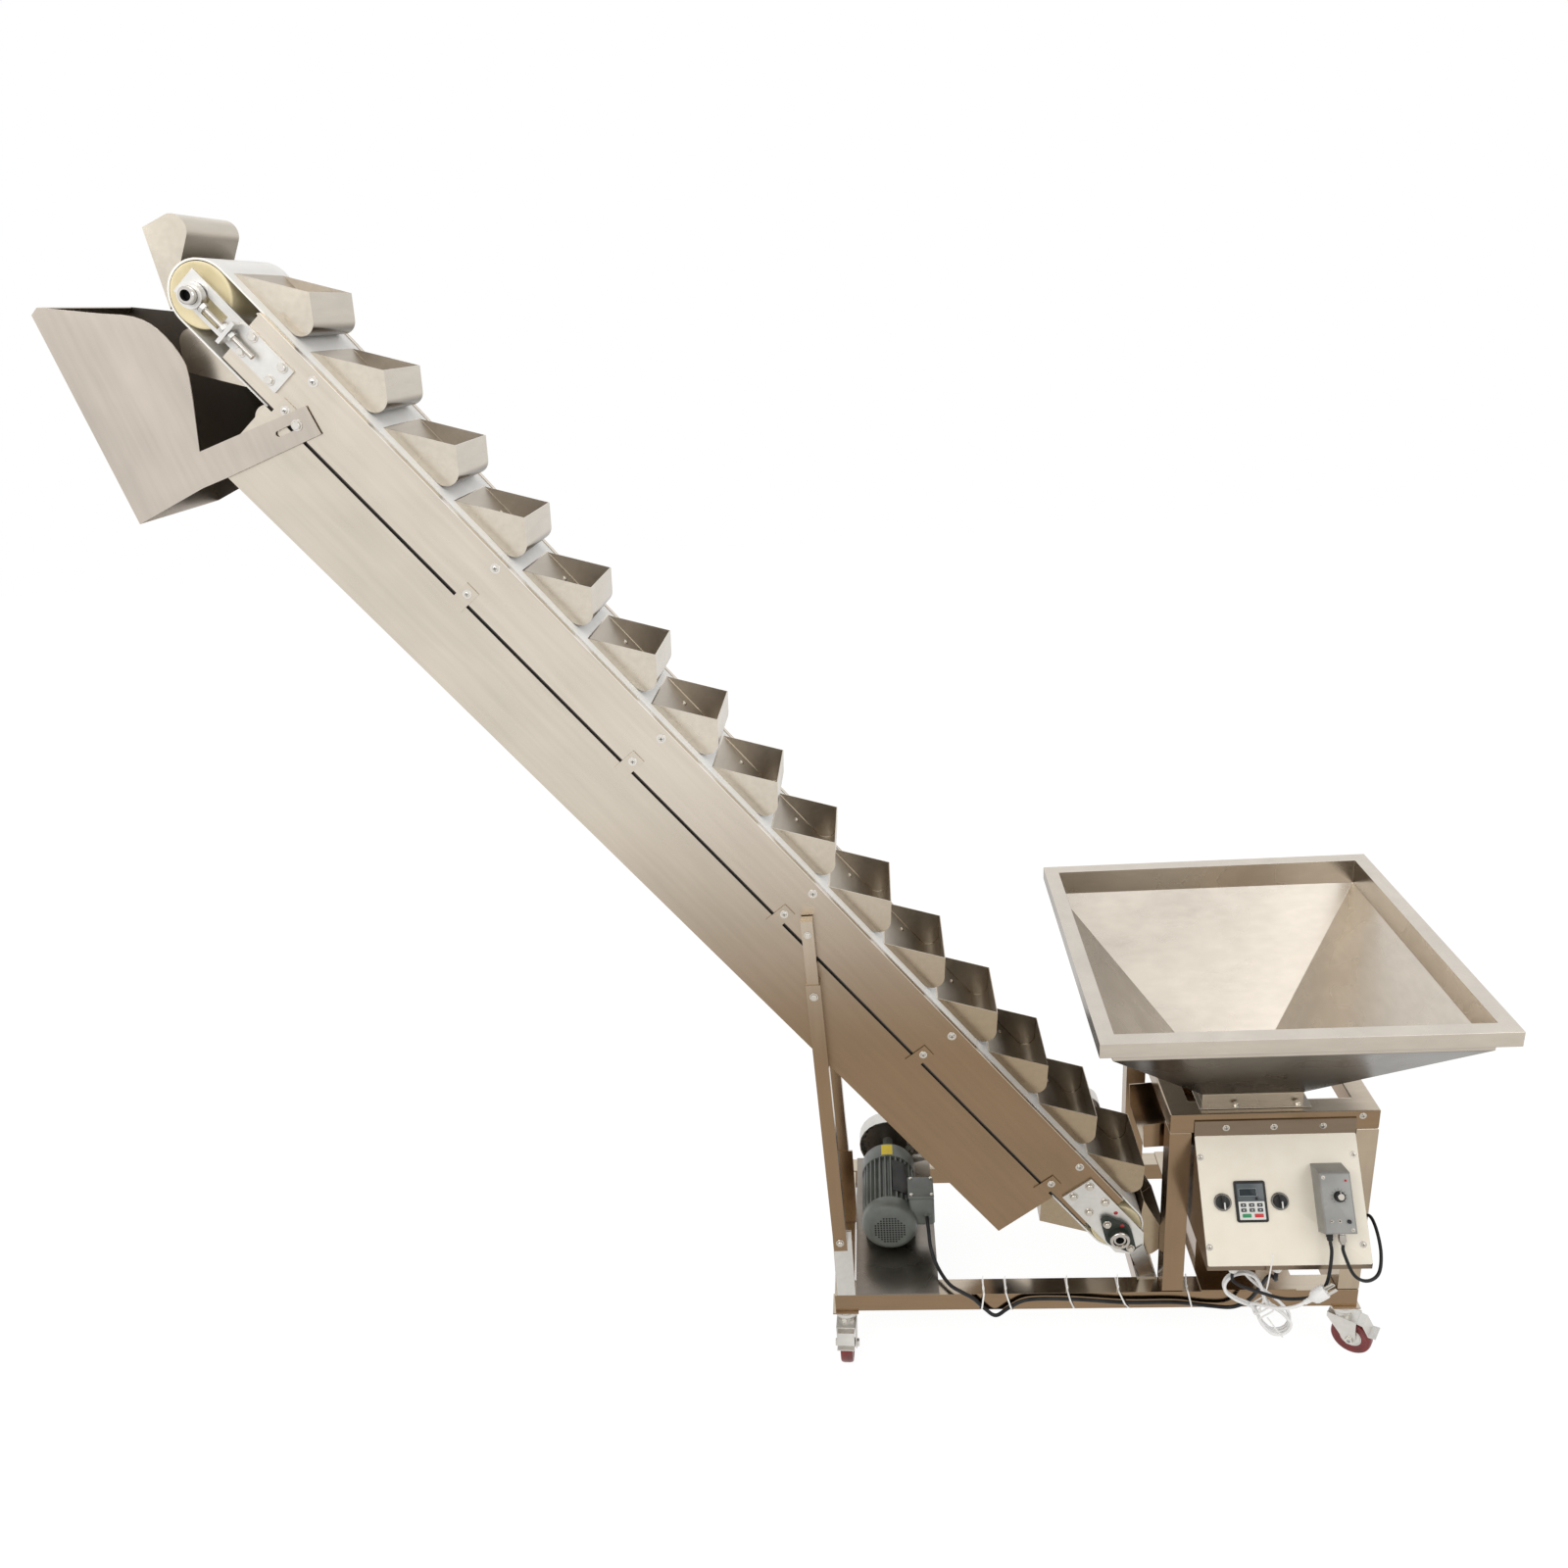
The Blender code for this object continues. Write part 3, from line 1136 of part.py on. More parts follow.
control_box()
flat(
    "keypad", [rounded(KEYPAD_LEFT, KEYPAD_LEFT + KEYPAD_WIDTH, KEYPAD_LOW, KEYPAD_LOW + KEYPAD_HEIGHT, 0.004)],
    SEAT, SEAT + KEYPAD_THICK, "XY", BLACK, PANEL)
controller()
knob("switch_left", PANEL, (SWITCHES[0], SWITCH_DOWN), BEZEL_HEIGHT, KNOB_RADIUS, KNOB_HEIGHT, True)
knob("switch_right", PANEL, (SWITCHES[1], SWITCH_DOWN), BEZEL_HEIGHT, KNOB_RADIUS, KNOB_HEIGHT, True)
knob("speed_dial", PANEL, (DIAL_X, DIAL_DOWN), CONTROLLER_HEIGHT, DIAL_RADIUS, DIAL_HEIGHT, False)


# Cords
def panel_point(x, down, out):
    """A point given on the panel's own axes, in world coordinates."""
    lean = BOX_FACE_ANGLE
    y = PANEL_TOP_Y + down * math.sin(lean) - out * math.cos(lean)
    z = BOX_TOP + down * math.cos(lean) + out * math.sin(lean)
    return (x, y, z)


GLAND_END = BOX_BOTTOM - GLAND_LENGTH - SEAT
cord(
    "motor_cable",
    [
        (MOTOR_X + MOTOR_RADIUS + 0.020, MOTOR_FRONT + 0.018 - SEAT, MOTOR_Z + 0.020),
        (MOTOR_X + MOTOR_RADIUS + 0.020, MOTOR_FRONT + 0.006, MOTOR_Z + 0.020), (0.181, -0.024, 0.228),
        (0.184, -0.040, 0.196), (0.196, -0.070, 0.174), (0.216, -0.106, 0.166), (0.240, -0.128, 0.166),
        (0.262, -0.1285, 0.150), (0.282, -0.1285, 0.126), (0.305, -0.1285, 0.106), (0.332, -0.1285, 0.126),
        (0.370, -0.1285, 0.146), (0.453, -0.1285, 0.146), (0.559, -0.1285, 0.136), (0.654, -0.1285, 0.135),
        (0.720, -0.1285, 0.125), (0.762, -0.133, 0.126), (0.788, -0.145, 0.155), (0.801, -0.160, 0.200),
        (0.808, -0.178, 0.244), (0.809, -0.200, 0.267), (0.806, -0.222, 0.281), (GLANDS[1][0], GLANDS[1][1], 0.296),
        (GLANDS[1][0], GLANDS[1][1], GLAND_END),
    ],
    MOTOR_CABLE, BLACK, 2)
grip_end = panel_point(GRIP_X, CONTROLLER_LOW - GRIP_LENGTH - SEAT, CONTROLLER_HEIGHT / 2)
cord(
    "controller_supply_lead",
    [
        grip_end, panel_point(GRIP_X, CONTROLLER_LOW - GRIP_LENGTH - 0.020, CONTROLLER_HEIGHT / 2), (0.878, -0.273, 0.340),
        (0.873, -0.274, 0.314), (0.862, -0.272, 0.292), (0.838, -0.268, 0.281), (0.805, -0.264, 0.278),
        (0.770, -0.256, 0.284), (0.742, -0.241, 0.284), (0.728, -0.231, 0.287), (GLANDS[0][0], GLANDS[0][1], 0.297),
        (GLANDS[0][0], GLANDS[0][1], GLAND_END),
    ],
    THIN_CORD, BLACK, 2)
cord(
    "feeder_lead",
    [
        panel_point(CONNECTOR_X, CONTROLLER_LOW - PLUG_LENGTH - SEAT, CONTROLLER_HEIGHT / 2),
        panel_point(CONNECTOR_X, CONTROLLER_LOW - PLUG_LENGTH - 0.014, CONTROLLER_HEIGHT / 2), (0.918, -0.279, 0.345),
        (0.942, -0.279, 0.331), (0.967, -0.264, 0.334), (0.981, -0.232, 0.352), (0.985, -0.192, 0.372),
        (0.984, -0.162, 0.372), (0.978, -0.146, 0.342), (0.966, -0.146, 0.305), (0.940, -0.160, 0.276),
        (0.904, -0.172, 0.268), (0.864, -0.160, 0.276), (0.830, -0.128, 0.282), (0.800, -0.090, 0.262),
        (0.790, -0.0645, 0.245), (0.790, -0.050 - SEAT, 0.245),
    ],
    THIN_CORD, BLACK, 2)
hank_low = (0.820, 0.166)
hank_high = (0.748, GLAND_END - HANK_HIGH_RADIUS)
flat(
    "mains_hank", [stadium(hank_high, hank_low, HANK_HIGH_RADIUS, HANK_LOW_RADIUS, 10)], HANK_Y - HANK_DEPTH / 2,
    HANK_Y + HANK_DEPTH / 2, "XZ", WHITE_CORD)
PLUG_FRAME = empty("plug_frame", (0.834, -0.2885, 0.292), (0, -math.radians(38), 0))
plug_profile = [
    (0, 0), (0.0045, 0), (0.006, 0.014), (0.011, 0.020), (0.0125, 0.030), (0.0125, 0.044), (0, 0.044),
]
plug = turned(
    "mains_plug", [(radius, -height) for radius, height in plug_profile], 16, WHITE_CORD, PLUG_FRAME, (0, 0, 0),
    (0, -math.pi / 2, 0))
pins = [
    box("pin", (0.043, -0.0016 + shift, -0.003 + lift), (0.062, 0.0016 + shift, 0.003 + lift), None, PLUG_FRAME)
    for shift, lift in ((-0.006, 0.004), (0.006, 0.004), (0, -0.005))
]
weld(plug, *pins)
cord(
    "mains_lead",
    [
        (0.7820, HANK_Y - HANK_DEPTH / 2 - SEAT, 0.1960), (0.7820, HANK_Y - HANK_DEPTH / 2 - 0.007, 0.1960),
        (0.7740, -0.2400, 0.2120), (0.7760, -0.2550, 0.2360), (0.7920, -0.2700, 0.2580), (0.8180, -0.2855, 0.2795),
        (0.834 - SEAT, -0.2885, 0.292 - SEAT),
    ],
    MAINS_CORD, WHITE_CORD, 2)
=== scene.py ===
"""Looks of an inclined bucket elevator on castors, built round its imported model, in metres."""

import math

import bmesh
import bpy
import numpy as np
from mathutils import Matrix, Vector


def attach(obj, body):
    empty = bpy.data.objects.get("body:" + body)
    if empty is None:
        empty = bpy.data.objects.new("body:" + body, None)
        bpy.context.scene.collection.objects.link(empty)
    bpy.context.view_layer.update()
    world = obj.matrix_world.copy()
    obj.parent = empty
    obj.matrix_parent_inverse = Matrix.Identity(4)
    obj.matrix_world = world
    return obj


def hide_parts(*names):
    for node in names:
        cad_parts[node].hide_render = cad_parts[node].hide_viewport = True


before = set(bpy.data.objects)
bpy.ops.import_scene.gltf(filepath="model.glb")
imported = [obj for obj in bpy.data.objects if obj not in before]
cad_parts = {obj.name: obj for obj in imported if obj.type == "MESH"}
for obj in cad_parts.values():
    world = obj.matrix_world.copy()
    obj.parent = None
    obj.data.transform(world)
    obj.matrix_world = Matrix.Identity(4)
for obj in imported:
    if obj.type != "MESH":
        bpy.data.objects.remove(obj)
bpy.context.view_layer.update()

# The camera stands a little above head height in front of the machine, as the photographer did.
# The floor and the backdrop are plain and pale, and two broad lamps give soft studio light.
eye = Vector((0.1415, -1.973, 1.999))
yaw, pitch, roll = math.radians(5.31), math.radians(21.53), math.radians(4.75)
ahead = Vector((-math.sin(yaw) * math.cos(pitch), math.cos(yaw) * math.cos(pitch), -math.sin(pitch)))
level = Vector((math.cos(yaw), math.sin(yaw), 0))
below = ahead.cross(level)
across = level * math.cos(roll) + below * math.sin(roll)
downward = below * math.cos(roll) - level * math.sin(roll)
lens = bpy.data.cameras.new("camera")
lens.sensor_width = 36.0
lens.lens = 27.466
lens.clip_end = 60
camera = bpy.data.objects.new("camera", lens)
camera.matrix_world = Matrix.Translation(eye) @ Matrix((across, -downward, -ahead)).transposed().to_4x4()
bpy.context.scene.collection.objects.link(camera)
bpy.context.scene.camera = camera
bpy.context.scene.view_settings.view_transform = "Standard"


def wire(tree, node, inputs):
    """Give a node's inputs their plain values or their links."""
    for key, value in inputs.items():
        if isinstance(value, bpy.types.NodeSocket):
            tree.links.new(value, node.inputs[key])
        else:
            node.inputs[key].default_value = value


def add(tree, kind, inputs=None, **settings):
    """A shader node with its settings, its plain values and its links."""
    made = tree.nodes.new(kind)
    for key, value in settings.items():
        setattr(made, key, value)
    wire(tree, made, inputs or {})
    return made


def combine(tree, operation, *values, **settings):
    """What a sum makes of its values."""
    return add(tree, "ShaderNodeMath", dict(enumerate(values)), operation=operation, **settings).outputs[0]


def backdrop_factor(tree):
    """1 for rays that see the backdrop: from the camera, in a gloss or through glass."""
    path = add(tree, "ShaderNodeLightPath").outputs
    seen = combine(tree, "MAXIMUM", path["Is Camera Ray"], path["Is Glossy Ray"])
    return combine(tree, "MAXIMUM", seen, path["Is Transmission Ray"])


world = bpy.data.worlds.new("studio")
bpy.context.scene.world = world
world.use_nodes = True
tree = world.node_tree
tree.nodes.clear()
lit = add(tree, "ShaderNodeBackground", {"Color": (1, 0.985, 0.96, 1), "Strength": 0.62})
seen = add(tree, "ShaderNodeBackground", {"Color": (1, 1, 1, 1), "Strength": 1.0})
either = add(tree, "ShaderNodeMixShader", {0: backdrop_factor(tree), 1: lit.outputs[0], 2: seen.outputs[0]})
add(tree, "ShaderNodeOutputWorld", {"Surface": either.outputs[0]})

floor_mesh = bpy.data.meshes.new("floor")
floor_mesh.from_pydata([(-9, -9, 0), (9, -9, 0), (9, 9, 0), (-9, 9, 0)], [], [(0, 1, 2, 3)])
floor = bpy.data.objects.new("floor", floor_mesh)
bpy.context.scene.collection.objects.link(floor)
floor_paint = bpy.data.materials.new("pale_floor")
floor_paint.use_nodes = True
tree = floor_paint.node_tree
tree.nodes.clear()
matt = add(tree, "ShaderNodeBsdfDiffuse", {"Color": (0.86, 0.85, 0.84, 1)})
white = add(tree, "ShaderNodeEmission", {"Color": (1, 1, 1, 1), "Strength": 1.12})
share = combine(tree, "MULTIPLY", backdrop_factor(tree), 0.84)
either = add(tree, "ShaderNodeMixShader", {0: share, 1: matt.outputs[0], 2: white.outputs[0]})
add(tree, "ShaderNodeOutputMaterial", {"Surface": either.outputs[0]})
floor_mesh.materials.append(floor_paint)


def lamp(name, where, target, size, power, tint):
    """A square soft lamp that points at a target."""
    light = bpy.data.lights.new(name, "AREA")
    light.size = size
    light.energy = power
    light.color = tint
    made = bpy.data.objects.new(name, light)
    made.location = where
    made.rotation_euler = (Vector(target) - Vector(where)).to_track_quat("-Z", "Y").to_euler()
    bpy.context.scene.collection.objects.link(made)


lamp("key_lamp", (-1.6, -2.6, 3.9), (0, 0, 1.0), 2.4, 62, (1, 0.98, 0.95))
lamp("fill_lamp", (3.2, -2.2, 3.0), (0.2, 0, 0.7), 2.6, 34, (0.98, 0.99, 1))


# The cords: soft flexible PVC. The black ones run from gland to gland or along the base rail,
# and the white mains lead is folded into a tied hank that hangs at the box, with its plug.
panel_edge = (-0.125, 0.531)
panel_lean = math.atan2(0.130, 0.185)


def on_panel(x, down, out):
    """A point given on the slanted panel's own axes: x, up the slope and out of its face."""
    y = panel_edge[0] + down * math.sin(panel_lean) - out * math.cos(panel_lean)
    z = panel_edge[1] + down * math.cos(panel_lean) + out * math.sin(panel_lean)
    return (x, y, z)


def eased(route, steps):
    """A Catmull-Rom curve through the route: each piece is a cubic of the four points round it."""
    p = np.array(route, float)
    p = np.vstack([2 * p[0] - p[1], p, 2 * p[-1] - p[-2]])
    u = (np.arange(steps) / steps)[None, :, None]
    a, b, c, d = (p[k:len(p) - 3 + k, None] for k in range(4))
    curve = 0.5 * (2 * b + (c - a) * u + (2 * a - 5 * b + 4 * c - d) * u ** 2 + (3 * b - a - 3 * c + d) * u ** 3)
    return np.vstack([curve.reshape(-1, 3), p[-2]])


def speckle(tree, vector, scale, detail=3.0):
    """A soft cloudy value from 0 to 1."""
    return add(tree, "ShaderNodeTexNoise", {"Vector": vector, "Scale": scale, "Detail": detail}).outputs["Fac"]


def between(tree, factor, low, high, start=0.0, end=1.0, **settings):
    """A value that goes from low to high as the factor goes from start to end."""
    return add(tree, "ShaderNodeMapRange", {
        "Value": factor, "From Min": start, "From Max": end, "To Min": low, "To Max": high},
        **settings).outputs["Result"]


def blended(tree, factor, first, second):
    """A colour between two colours."""
    return add(tree, "ShaderNodeMix", {0: factor, 6: first, 7: second}, data_type="RGBA").outputs[2]


def moulded(name, colour, worn, rough, grain=700.0, depth=0.06, metallic=0.0):
    """Moulded plastic, rubber or paint: a fine pebble in the surface and faint cloudy handling marks.

    A dark one shines less, because its own colour is all that a pale room adds to.
    """
    made = bpy.data.materials.new(name)
    made.use_nodes = True
    tree = made.node_tree
    place = add(tree, "ShaderNodeTexCoord").outputs["Object"]
    cloud = speckle(tree, place, 28.0)
    pebble = speckle(tree, place, grain, 1.0)
    bump = add(tree, "ShaderNodeBump", {"Height": pebble, "Strength": depth, "Distance": 0.001})
    wire(tree, tree.nodes["Principled BSDF"], {
        "Base Color": blended(tree, between(tree, cloud, 0, 1, 0.35, 0.7), (*colour, 1), (*worn, 1)),
        "Roughness": between(tree, cloud, rough - 0.06, rough + 0.10), "Metallic": metallic,
        "Specular IOR Level": 0.2 if max(colour) < 0.1 else 0.5, "Normal": bump.outputs[0]})
    return made


black_pvc = moulded("black_pvc", (0.012, 0.012, 0.013), (0.03, 0.03, 0.031), 0.42)
white_pvc = moulded("white_pvc", (0.95, 0.95, 0.955), (0.90, 0.90, 0.89), 0.36)


def cord_piece(name, path, diameter, finish, slot, *replaced):
    """A round cord along a path, as one curve."""
    curve = bpy.data.curves.new(name, "CURVE")
    curve.dimensions = "3D"
    curve.bevel_depth = diameter / 2
    curve.bevel_resolution = 4
    curve.use_fill_caps = True
    spline = curve.splines.new("POLY")
    spline.points.add(len(path) - 1)
    spline.points.foreach_set("co", np.hstack([path, np.ones((len(path), 1))]).ravel())
    curve.materials.append(finish)
    made = bpy.data.objects.new(name, curve)
    bpy.context.scene.collection.objects.link(made)
    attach(made, "machine")
    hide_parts(*replaced)
    return made


motor_route = [
    (0.1795, 0.0027, 0.2423), (0.1795, -0.009, 0.2423), (0.181, -0.024, 0.228), (0.184, -0.040, 0.196),
    (0.196, -0.070, 0.174), (0.216, -0.106, 0.166), (0.240, -0.128, 0.166), (0.262, -0.1285, 0.150),
    (0.282, -0.1285, 0.126), (0.305, -0.1285, 0.106), (0.332, -0.1285, 0.126), (0.370, -0.1285, 0.146),
    (0.453, -0.1285, 0.146), (0.559, -0.1285, 0.136), (0.654, -0.1285, 0.135), (0.720, -0.1285, 0.125),
    (0.762, -0.133, 0.126), (0.788, -0.145, 0.155), (0.801, -0.160, 0.200), (0.808, -0.178, 0.244),
    (0.809, -0.200, 0.267), (0.806, -0.222, 0.281), (0.803, -0.230, 0.296), (0.803, -0.230, 0.3087),
]
motor_path = eased(motor_route, 8)
cord_piece("motor_cable_sheath", motor_path, 0.0075, black_pvc, "black_plastic", "motor_cable")

lead_diameter = 0.006
supply_route = [
    on_panel(0.884, -0.1843, 0.021), on_panel(0.884, -0.204, 0.021), (0.878, -0.273, 0.340), (0.873, -0.274, 0.314),
    (0.862, -0.272, 0.292), (0.838, -0.268, 0.281), (0.805, -0.264, 0.278), (0.770, -0.256, 0.284),
    (0.742, -0.241, 0.284), (0.728, -0.231, 0.287), (0.725, -0.230, 0.297), (0.725, -0.230, 0.3087),
]
supply_path = eased(supply_route, 8)
supply_lead = cord_piece("supply_lead", supply_path, lead_diameter, black_pvc, "black_plastic",
                         "controller_supply_lead")

feeder_route = [
    on_panel(0.905, -0.1903, 0.021), on_panel(0.905, -0.204, 0.021), (0.918, -0.279, 0.345), (0.942, -0.279, 0.331),
    (0.967, -0.264, 0.334), (0.981, -0.232, 0.352), (0.985, -0.192, 0.372), (0.984, -0.162, 0.372),
    (0.978, -0.146, 0.342), (0.966, -0.146, 0.305), (0.940, -0.160, 0.276), (0.904, -0.172, 0.268),
    (0.864, -0.160, 0.276), (0.830, -0.128, 0.282), (0.800, -0.090, 0.262), (0.790, -0.0645, 0.245),
    (0.790, -0.0503, 0.245),
]
feeder_path = eased(feeder_route, 8)
feeder_cord = cord_piece("feeder_cord", feeder_path, lead_diameter, black_pvc, "black_plastic", "feeder_lead")

mains_diameter = 0.006
hank_turns, point_spacing = 3, 0.005
hank_ends = (np.array((0.748, 0.2620)), np.array((0.820, 0.1690)))
hank_radii = (0.0310, 0.0215)
hank_depths = (-0.2085, -0.2275)
hank_tie = hank_ends[0] + 0.50 * (hank_ends[1] - hank_ends[0])
tie_pinch, pinch_reach = 0.50, 0.028


def hull(circles, step=3.0):
    """The closed line round circles (x, y, r): in each direction n(a), the point c + r n that reaches furthest."""
    a = np.radians(np.arange(0, 360, step))
    n = np.column_stack([np.cos(a), np.sin(a)])
    ends = np.array([np.array((x, y)) + r * n for x, y, r in circles])
    reach = (ends * n).sum(axis=2)
    return ends[reach.argmax(axis=0), np.arange(len(a))]


def outward(line):
    """The normals of a closed flat line: at each point its tangent turned by a quarter, outwards."""
    tangent = np.roll(line, -1, axis=0) - np.roll(line, 1, axis=0)
    return np.column_stack([tangent[:, 1], -tangent[:, 0]]) / np.linalg.norm(tangent, axis=1)[:, None]


def travel_along(line):
    """How far along a line each of its points is."""
    return np.concatenate([[0], np.cumsum(np.linalg.norm(np.diff(line, axis=0), axis=1))])


def at_travel(line, even):
    """The points of a flat line at the given travels along it."""
    far = travel_along(line)
    return np.column_stack([np.interp(even, far, line[:, k]) for k in (0, 1)])


def hank_path():
    """A cord wound flat round two circles, forward by a little each turn and drawn in where it is tied.

    The points are spaced evenly along the hull of the circles. Their distance from the line between the
    centres is scaled by 1 - k exp(-(s / w)^2), with s the distance from the tie.
    """
    loop = hull([(*centre, radius) for centre, radius in zip(hank_ends, hank_radii)])[::-1]
    loop = np.roll(loop, -np.argmax(loop @ np.array((1.0, -0.3))), axis=0)
    line = np.vstack([loop] * hank_turns + [loop[:1]])
    whole = travel_along(line)[-1]
    even = np.arange(0, whole, point_spacing)
    flat = at_travel(line, even)
    run = (hank_ends[1] - hank_ends[0]) / np.linalg.norm(hank_ends[1] - hank_ends[0])
    side = np.array((-run[1], run[0]))
    from_tie = (flat - hank_tie) @ run
    off = (flat - hank_ends[0]) @ side
    flat -= np.outer(off * tie_pinch * np.exp(-(from_tie / pinch_reach) ** 2), side)
    return np.column_stack([flat[:, 0], np.interp(even, [0, whole], hank_depths), flat[:, 1]])


def bridge(start, leaving, end, arriving, pull):
    """Hermite's cubic from a start to an end, with its two directions as tangents of length pull."""
    u = np.linspace(0, 1, max(int(np.linalg.norm(end - start) / point_spacing) + 1, 4))[:, None]
    leaving, arriving = (pull * d / np.linalg.norm(d) for d in (leaving, arriving))
    return ((2 * u ** 3 - 3 * u ** 2 + 1) * start + (u ** 3 - 2 * u ** 2 + u) * leaving
            + (3 * u ** 2 - 2 * u ** 3) * end + (u ** 3 - u ** 2) * arriving)


plug_lean = math.radians(38)
plug_root = (0.834, -0.2885, 0.292)
mains_exit = np.array((0.748, -0.2030, 0.3087))
hank_pull, plug_pull = 0.150, 0.190
leaving_height, left_side, never = 0.175, 0.805, 9
hank_loops = hank_path()
last_turn = hank_loops[-60:]
misses = np.abs(last_turn[:, 2] - leaving_height) + never * (last_turn[:, 0] > left_side)
leaving = int(np.argmin(misses)) - len(last_turn)
down_to_hank = bridge(mains_exit - (0, 0, 0.004), np.array((0, 0, -1.0)), hank_loops[0],
                      hank_loops[1] - hank_loops[0], hank_pull)
up_to_plug = bridge(hank_loops[leaving], hank_loops[leaving] - hank_loops[leaving - 1], np.array(plug_root),
                    np.array((math.cos(plug_lean), 0, math.sin(plug_lean))), plug_pull)
mains_path = eased(np.vstack([mains_exit, down_to_hank, hank_loops[1:leaving], up_to_plug]), 3)
mains_cord = cord_piece("mains_cord", mains_path, mains_diameter, white_pvc, "white_cord", "mains_lead",
                        "mains_hank")


def mm(*numbers):
    """The points (x, y) of a profile or an outline, written one after another in millimetres."""
    return np.array(numbers, float).reshape(-1, 2) / 1000


def oblong(left, right, low, high):
    """The outline of a rectangle."""
    return np.array([(left, low), (right, low), (right, high), (left, high)])


def mirrored(half, closed=True):
    """A profile from its upper half: the half, its mirror image, and back to the start where it is closed."""
    return np.vstack([half, half[::-1] * (1, -1), half[:1] if closed else half[:0]])


def axes_of(*columns):
    """The matrix whose columns are a shape's new axes."""
    return np.column_stack(columns)


def quads(rows, columns, closed):
    """The four-sided faces of a grid of points, its columns joined up where it is closed."""
    i = np.arange(rows - 1)[:, None]
    j = np.arange(columns if closed else columns - 1)[None, :]
    k = (j + 1) % columns
    corners = [i * columns + j, (i + 1) * columns + j, (i + 1) * columns + k, i * columns + k]
    return [tuple(q) for q in np.stack(np.broadcast_arrays(*corners), axis=-1).reshape(-1, 4).tolist()]


def revolve(profile, steps):
    """A profile (radius, height) turned about Z: point (i, j) is (r_i cos a_j, r_i sin a_j, h_i)."""
    r, h = np.array(profile, float).T
    a = np.linspace(0, 2 * np.pi, steps, endpoint=False)
    points = np.stack([np.outer(r, np.cos(a)), np.outer(r, np.sin(a)), np.outer(h, np.ones(steps))], axis=2)
    return points.reshape(-1, 3), quads(len(r), steps, True)


def prism(outline, low, high):
    """A flat outline (x, y) made thick from low to high along Z: its two copies and the walls between."""
    flat = np.array(outline, float)
    n = len(flat)
    points = np.vstack([np.column_stack([flat, np.full(n, level)]) for level in (low, high)])
    return points, [tuple(range(n - 1, -1, -1)), tuple(range(n, 2 * n))] + quads(2, n, True)


def moved(shape, turn, origin):
    """A shape turned by a 3 by 3 matrix whose columns are its new axes, and set at an origin."""
    points, faces = shape
    return points @ np.array(turn, float).T + np.array(origin, float), faces


def solid(name, shapes, finish, slot, body="machine", sharp=35, stands_for=None):
    """Shapes joined as one piece, with doubled points merged and faces turned outwards."""
    points, faces, count = [], [], 0
    for shape, polygons in shapes:
        points.append(shape)
        faces += [tuple(k + count for k in polygon) for polygon in polygons]
        count += len(shape)
    mesh = bpy.data.meshes.new(name)
    mesh.from_pydata(np.vstack(points).tolist(), [], faces)
    work = bmesh.new()
    work.from_mesh(mesh)
    bmesh.ops.remove_doubles(work, verts=work.verts, dist=0.000002)
    bmesh.ops.recalc_face_normals(work, faces=work.faces)
    work.to_mesh(mesh)
    work.free()
    mesh.shade_smooth()
    mesh.set_sharp_from_angle(angle=math.radians(sharp))
    mesh.materials.append(finish)
    made = bpy.data.objects.new(name, mesh)
    bpy.context.scene.collection.objects.link(made)
    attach(made, body)
    if stands_for:
        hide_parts(stands_for)
    return made


plug_axes = axes_of((math.sin(plug_lean), 0, -math.cos(plug_lean)), (0, 1, 0),
                    (math.cos(plug_lean), 0, math.sin(plug_lean)))
plug_profile = mm(0, 0, 4, 0, 4.6, 4, 4, 5, 5, 9, 4.4, 10, 5.6, 14, 10, 18, 11.8, 22, 12.4, 30, 12.4, 42,
                  11.8, 44, 0, 44)
plug_body = solid("plug_body", [moved(revolve(plug_profile, 32), plug_axes, plug_root)], white_pvc, "white_cord",
                  stands_for="mains_plug")
plug_brass = moulded("plug_brass", (0.62, 0.60, 0.56), (0.50, 0.47, 0.42), 0.25, metallic=1.0)
blade = oblong(-0.0030, 0.0030, -0.0008, 0.0008)
pins = [moved(prism(blade + spot, 0.043, 0.0615), plug_axes, plug_root) for spot in mm(3.5, -6, 3.5, 6, -5, 0)]
plug_pins = solid("plug_pins", pins, plug_brass, "zinc_plate")


def shader_group(name, takes, gives):
    """An empty shader node group with named sockets."""
    tree = bpy.data.node_groups.new(name, "ShaderNodeTree")
    for way, sockets in (("INPUT", takes), ("OUTPUT", gives)):
        for label, kind in sockets.items():
            tree.interface.new_socket(label, in_out=way, socket_type="NodeSocket" + kind)
    return tree, add(tree, "NodeGroupInput").outputs, add(tree, "NodeGroupOutput")


def swirl(tree, vector, scale, distortion):
    """A cloudy value whose shapes are pulled about, as by a wiping cloth."""
    return add(tree, "ShaderNodeTexNoise", {
        "Vector": vector, "Scale": scale, "Detail": 2.0, "Roughness": 0.45, "Distortion": distortion}).outputs["Fac"]


def shaded(tree, colour, shade):
    """A colour times a shade."""
    return add(tree, "ShaderNodeVectorMath", {0: colour, 1: shade}, operation="MULTIPLY").outputs[0]


def split(tree, vector):
    """The three parts of a vector, by the name of their axis."""
    return add(tree, "ShaderNodeSeparateXYZ", {"Vector": vector}).outputs


